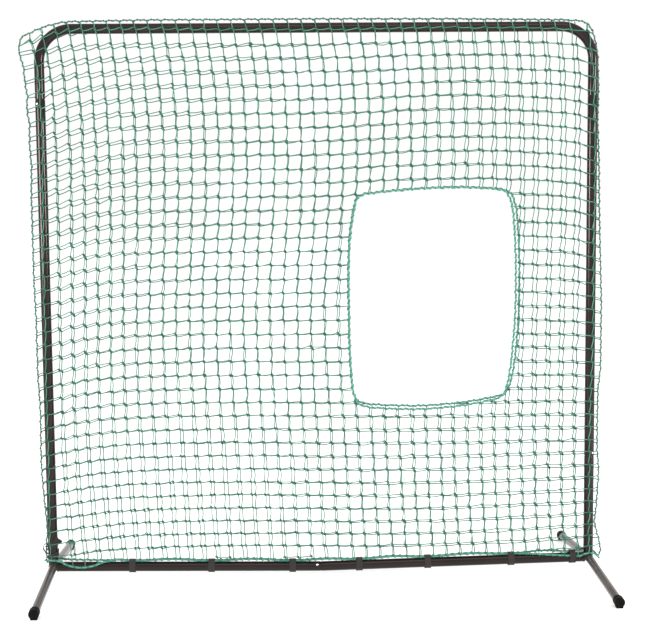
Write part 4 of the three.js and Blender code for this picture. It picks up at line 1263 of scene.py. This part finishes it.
# ======================= ropes =======================
for front in (True, False):
    tag = "front" if front else "back"
    sgn = -1 if front else 1
    P = hole_path(HOLE_FRONT if front else HOLE_BACK, sgn * (NET_Y + 0.2))
    P, L_ = resample(P, 9.0, True)
    # the lashings pull it in and out a little, so that it looks lumpy
    rg = np.random.default_rng(5 if front else 6)
    n = len(P)
    c = P.mean(0)
    rad = unit((P - c) * np.array([1, 0, 1]))
    P = P + rad * (1.1 * np.sin(np.arange(n) * 2 * math.pi / (n / round(L_ / 52.5))) + rg.normal(0, 0.35, n))[:, None]
    bag = Bag()
    laid_rope(bag, P, 4.0, 26.0, closed=True, mat=(0, 1, 1), step=3.6)
    C = wrapping(P, 3.6, 22.0, 1.1, closed=True, per=11, seed=3 if front else 4, loose=0.5)
    T, A, B = transport(C, True)
    v, q, t = ring_tube(C, A, B, 1.15, 5, True)
    bag.add(v, q, t, 2)
    bag.build(f"hole_binding_{tag}", ROPES, slot="rope", replaces=(f"hole_rope_{tag}",))

    P = BORDER[front]
    bag = Bag()
    laid_rope(bag, P, 4.0, 27.0, mat=(0, 1, 0), step=4.0)
    C = wrapping(P[6:-6], 4.0, 26.0, 1.2, per=10, seed=8 if front else 9)
    T, A, B = transport(C)
    v, q, t = ring_tube(C, A, B, 1.15, 5, False)
    bag.add(v, q, t, 2)
    bag.build(f"hem_rope_{tag}", ROPES, slot="rope", replaces=(f"bottom_rope_{tag}",))


# ======================= straps =======================
def strip_piece(name, P, N_, W_, thick, width, replaces, crown=0.25):
    """A flat strap along P, with outward normals N_ and width directions W_."""
    n = len(P)
    h, w = thick / 2, width / 2
    sec = [(-w, -h * 0.5), (-w + 0.5, -h), (-w * 0.5, -h), (0, -h), (w * 0.5, -h), (w - 0.5, -h), (w, -h * 0.5),
           (w, h * 0.5), (w - 0.5, h), (w * 0.8, h * 1.25), (w * 0.5, h), (0, h), (-w * 0.5, h), (-w * 0.8, h * 1.25), (-w + 0.5, h), (-w, h * 0.5)]
    m_ = len(sec)
    V = np.empty((n, m_, 3))
    for c, (a, b) in enumerate(sec):
        V[:, c] = P + W_ * a + N_ * b
    V = V.reshape(-1, 3)
    k, s = np.meshgrid(np.arange(n - 1), np.arange(m_), indexing="ij")
    s2 = (s + 1) % m_
    Q = np.stack([k * m_ + s, k * m_ + s2, (k + 1) * m_ + s2, (k + 1) * m_ + s], -1).reshape(-1, 4)
    fan = lambda b, rev: np.array([(b, b + i + (2 if rev else 1), b + i + (1 if rev else 2)) for i in range(m_ - 2)])
    T_ = np.concatenate([fan(0, False), fan((n - 1) * m_, True)])
    # turn the whole thing the right way out
    vol = 0.0
    tri = np.concatenate([Q[:, [0, 1, 2]], Q[:, [0, 2, 3]], T_])
    a, b, c = V[tri[:, 0]], V[tri[:, 1]], V[tri[:, 2]]
    if np.einsum("ij,ij->i", a, np.cross(b, c)).sum() < 0:
        Q, T_ = Q[:, ::-1], T_[:, ::-1]
    return make_mesh(name, V, [Q, T_], [WEB], sharp=50, slot="strap_webbing", replaces=replaces)


def hull_outline(circles, grow, n):
    pts, nrm = [], []
    for i in range(n):
        a = i / n * 2 * math.pi
        ca, sa = math.cos(a), math.sin(a)
        best = max(circles, key=lambda c: c[0] * ca + c[1] * sa + c[2])
        pts.append((best[0] + (best[2] + grow) * ca, best[1] + (best[2] + grow) * sa))
        nrm.append((ca, sa))
    return np.array(pts), np.array(nrm)


for i, x in enumerate(STRAP_X):
    rg = np.random.default_rng(100 + i)
    n = 90
    # one turn and a third: the outer lap lies on the inner one and its end stands off a little
    first = rg.uniform(0.55, 0.8)
    P, N_ = [], []
    near = (-21.8, 10.2, ROPE_R) if x > 900 else (-ROPE_Y, ROPE_UP, ROPE_R)
    pts, nrm = hull_outline([(0, 0, TUBE_R), near, (ROPE_Y, ROPE_UP, ROPE_R)], 1.5, 360)
    L_ = np.r_[0, np.cumsum(np.linalg.norm(np.diff(np.vstack([pts, pts[:1]]), axis=0), axis=1))]
    per = L_[-1]
    S_ = np.linspace(0, per * 1.28, n)
    s0 = per * first
    for s in S_:
        q = (s0 + s) % per
        y = np.interp(q, L_, np.r_[pts[:, 0], pts[0, 0]])
        z = np.interp(q, L_, np.r_[pts[:, 1], pts[0, 1]])
        ny = np.interp(q, L_, np.r_[nrm[:, 0], nrm[0, 0]])
        nz = np.interp(q, L_, np.r_[nrm[:, 1], nrm[0, 1]])
        l = math.hypot(ny, nz)
        turn = s / per
        out = 1.75 * np.clip((turn - 0.86) / 0.14, 0, 1) + 2.2 * np.clip((turn - 1.22) / 0.06, 0, 1) ** 2
        P.append((0, y + ny / l * out, z + nz / l * out))
        N_.append((0, ny / l, nz / l))
    P, N_ = np.array(P), np.array(N_)
    d = DIR_L if x < RAIL_MID[0] else -DIR_R
    rot = np.array([[d[0], 0, -d[2]], [0, 1, 0], [d[2], 0, d[0]]])
    P = P @ rot.T + np.array([x, 0, float(rail_z(x))])
    P[:, 0] += np.linspace(0, rg.uniform(-1.6, 1.6), n)
    N_ = N_ @ rot.T
    W_ = np.repeat(np.array([[d[0], 0, d[2]]]), n, 0)
    strip_piece(f"strap_{i + 1}_webbing", P, N_, W_, 1.45, 25.0, (f"strap_rail_{i + 1}",))

# the strap round the left post: it winds down the post and its spare end makes a loop on the left
turns = 1.75
n = 150
S_ = np.linspace(0, turns, n)
P, N_, W_ = [], [], []
for s in S_:
    a = math.radians(120) - 2 * math.pi * s
    z = 172 - 44 * s
    r = TUBE_R + 1.25 + 1.5 * np.clip((s - 0.9) / 0.15, 0, 1)
    P.append((-POST_X + r * math.cos(a), r * math.sin(a), z))
    N_.append((math.cos(a), math.sin(a), 0))
    t = unit(np.array([math.sin(a), -math.cos(a), -44 / (2 * math.pi * r)]))
    W_.append(np.cross(t, N_[-1]))
P, N_, W_ = np.array(P), np.array(N_), np.array(W_)
strip_piece("post_strap_webbing", P, N_, W_, 1.3, 22.0, ("strap_post_left",))
loop = catmull([(-1065, -16, 150), (-1073, -15, 153), (-1081, -13, 147), (-1084.5, -12, 137), (-1081, -11, 127), (-1073, -11, 118), (-1066, -14, 113)], 8)
T, A, B = transport(loop)
Nl = unit(np.cross(T, np.array([0, 1.0, 0])))
Wl = unit(np.cross(T, Nl))
strip_piece("post_strap_loop", loop, Nl, Wl, 2.0, 12.0, ())
tail = catmull([(-1041, -21.5, 168), (-1034, -18.5, 166), (-1027, -13.5, 163), (-1020, -7, 159), (-1014.5, 0, 154)], 6)
T, A, B = transport(tail)
Wt = unit(np.array([0.28, 0, 1.0]) - T * (T @ np.array([0.28, 0, 1.0]))[:, None])
Nt = np.cross(Wt, T)
wide = np.linspace(1, 0.5, len(tail))
strip_piece("post_strap_tail", tail, Nt, Wt * wide[:, None], 1.3, 24.0, ())

# ======================= sheets =======================
# Netting is mostly holes, so its flat area is the surface that its twine has when it is laid out flat.
for front in (True, False):
    tag = "front" if front else "back"
    L = stats[tag]
    for b, o in enumerate(L["objs"]):
        rows = [10, 10, 11, 9.2][b]
        flat = (2.2, rows * P0 * MM)
        me = o.data
        area = sum(p.area for p in me.polygons)
        # the flat sheet's size is given; it is not a measured area; the declared area is set
        # just above its allowed floor of 0.3; it is not a measured area
        stats[o.name] = (*stats[o.name], round(area / (flat[0] * flat[1]), 3))

# ======================= floor =======================
fm, nt, p = new_material("floor")
p.inputs["Base Color"].default_value = (0.9, 0.9, 0.9, 1)
p.inputs["Emission Color"].default_value = (1, 1, 1, 1)
p.inputs["Emission Strength"].default_value = 0.28
p.inputs["Roughness"].default_value = 0.9
floor_me = bpy.data.meshes.new("floor")
floor_me.from_pydata([(-40, -40, -0.0005), (40, -40, -0.0005), (40, 40, -0.0005), (-40, 40, -0.0005)], [], [(0, 1, 2, 3)])
floor_me.materials.append(fm)
floor = bpy.data.objects.new("floor", floor_me)
bpy.context.scene.collection.objects.link(floor)

# any carried-over node still shown, other than the button springs, is printed
for name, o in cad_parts.items():
    if not o.hide_render and not name.startswith("button_spring"):
        print("CAD node still shown:", name)

for k, v in stats.items():
    if isinstance(v, tuple):
        print("net", k, v)
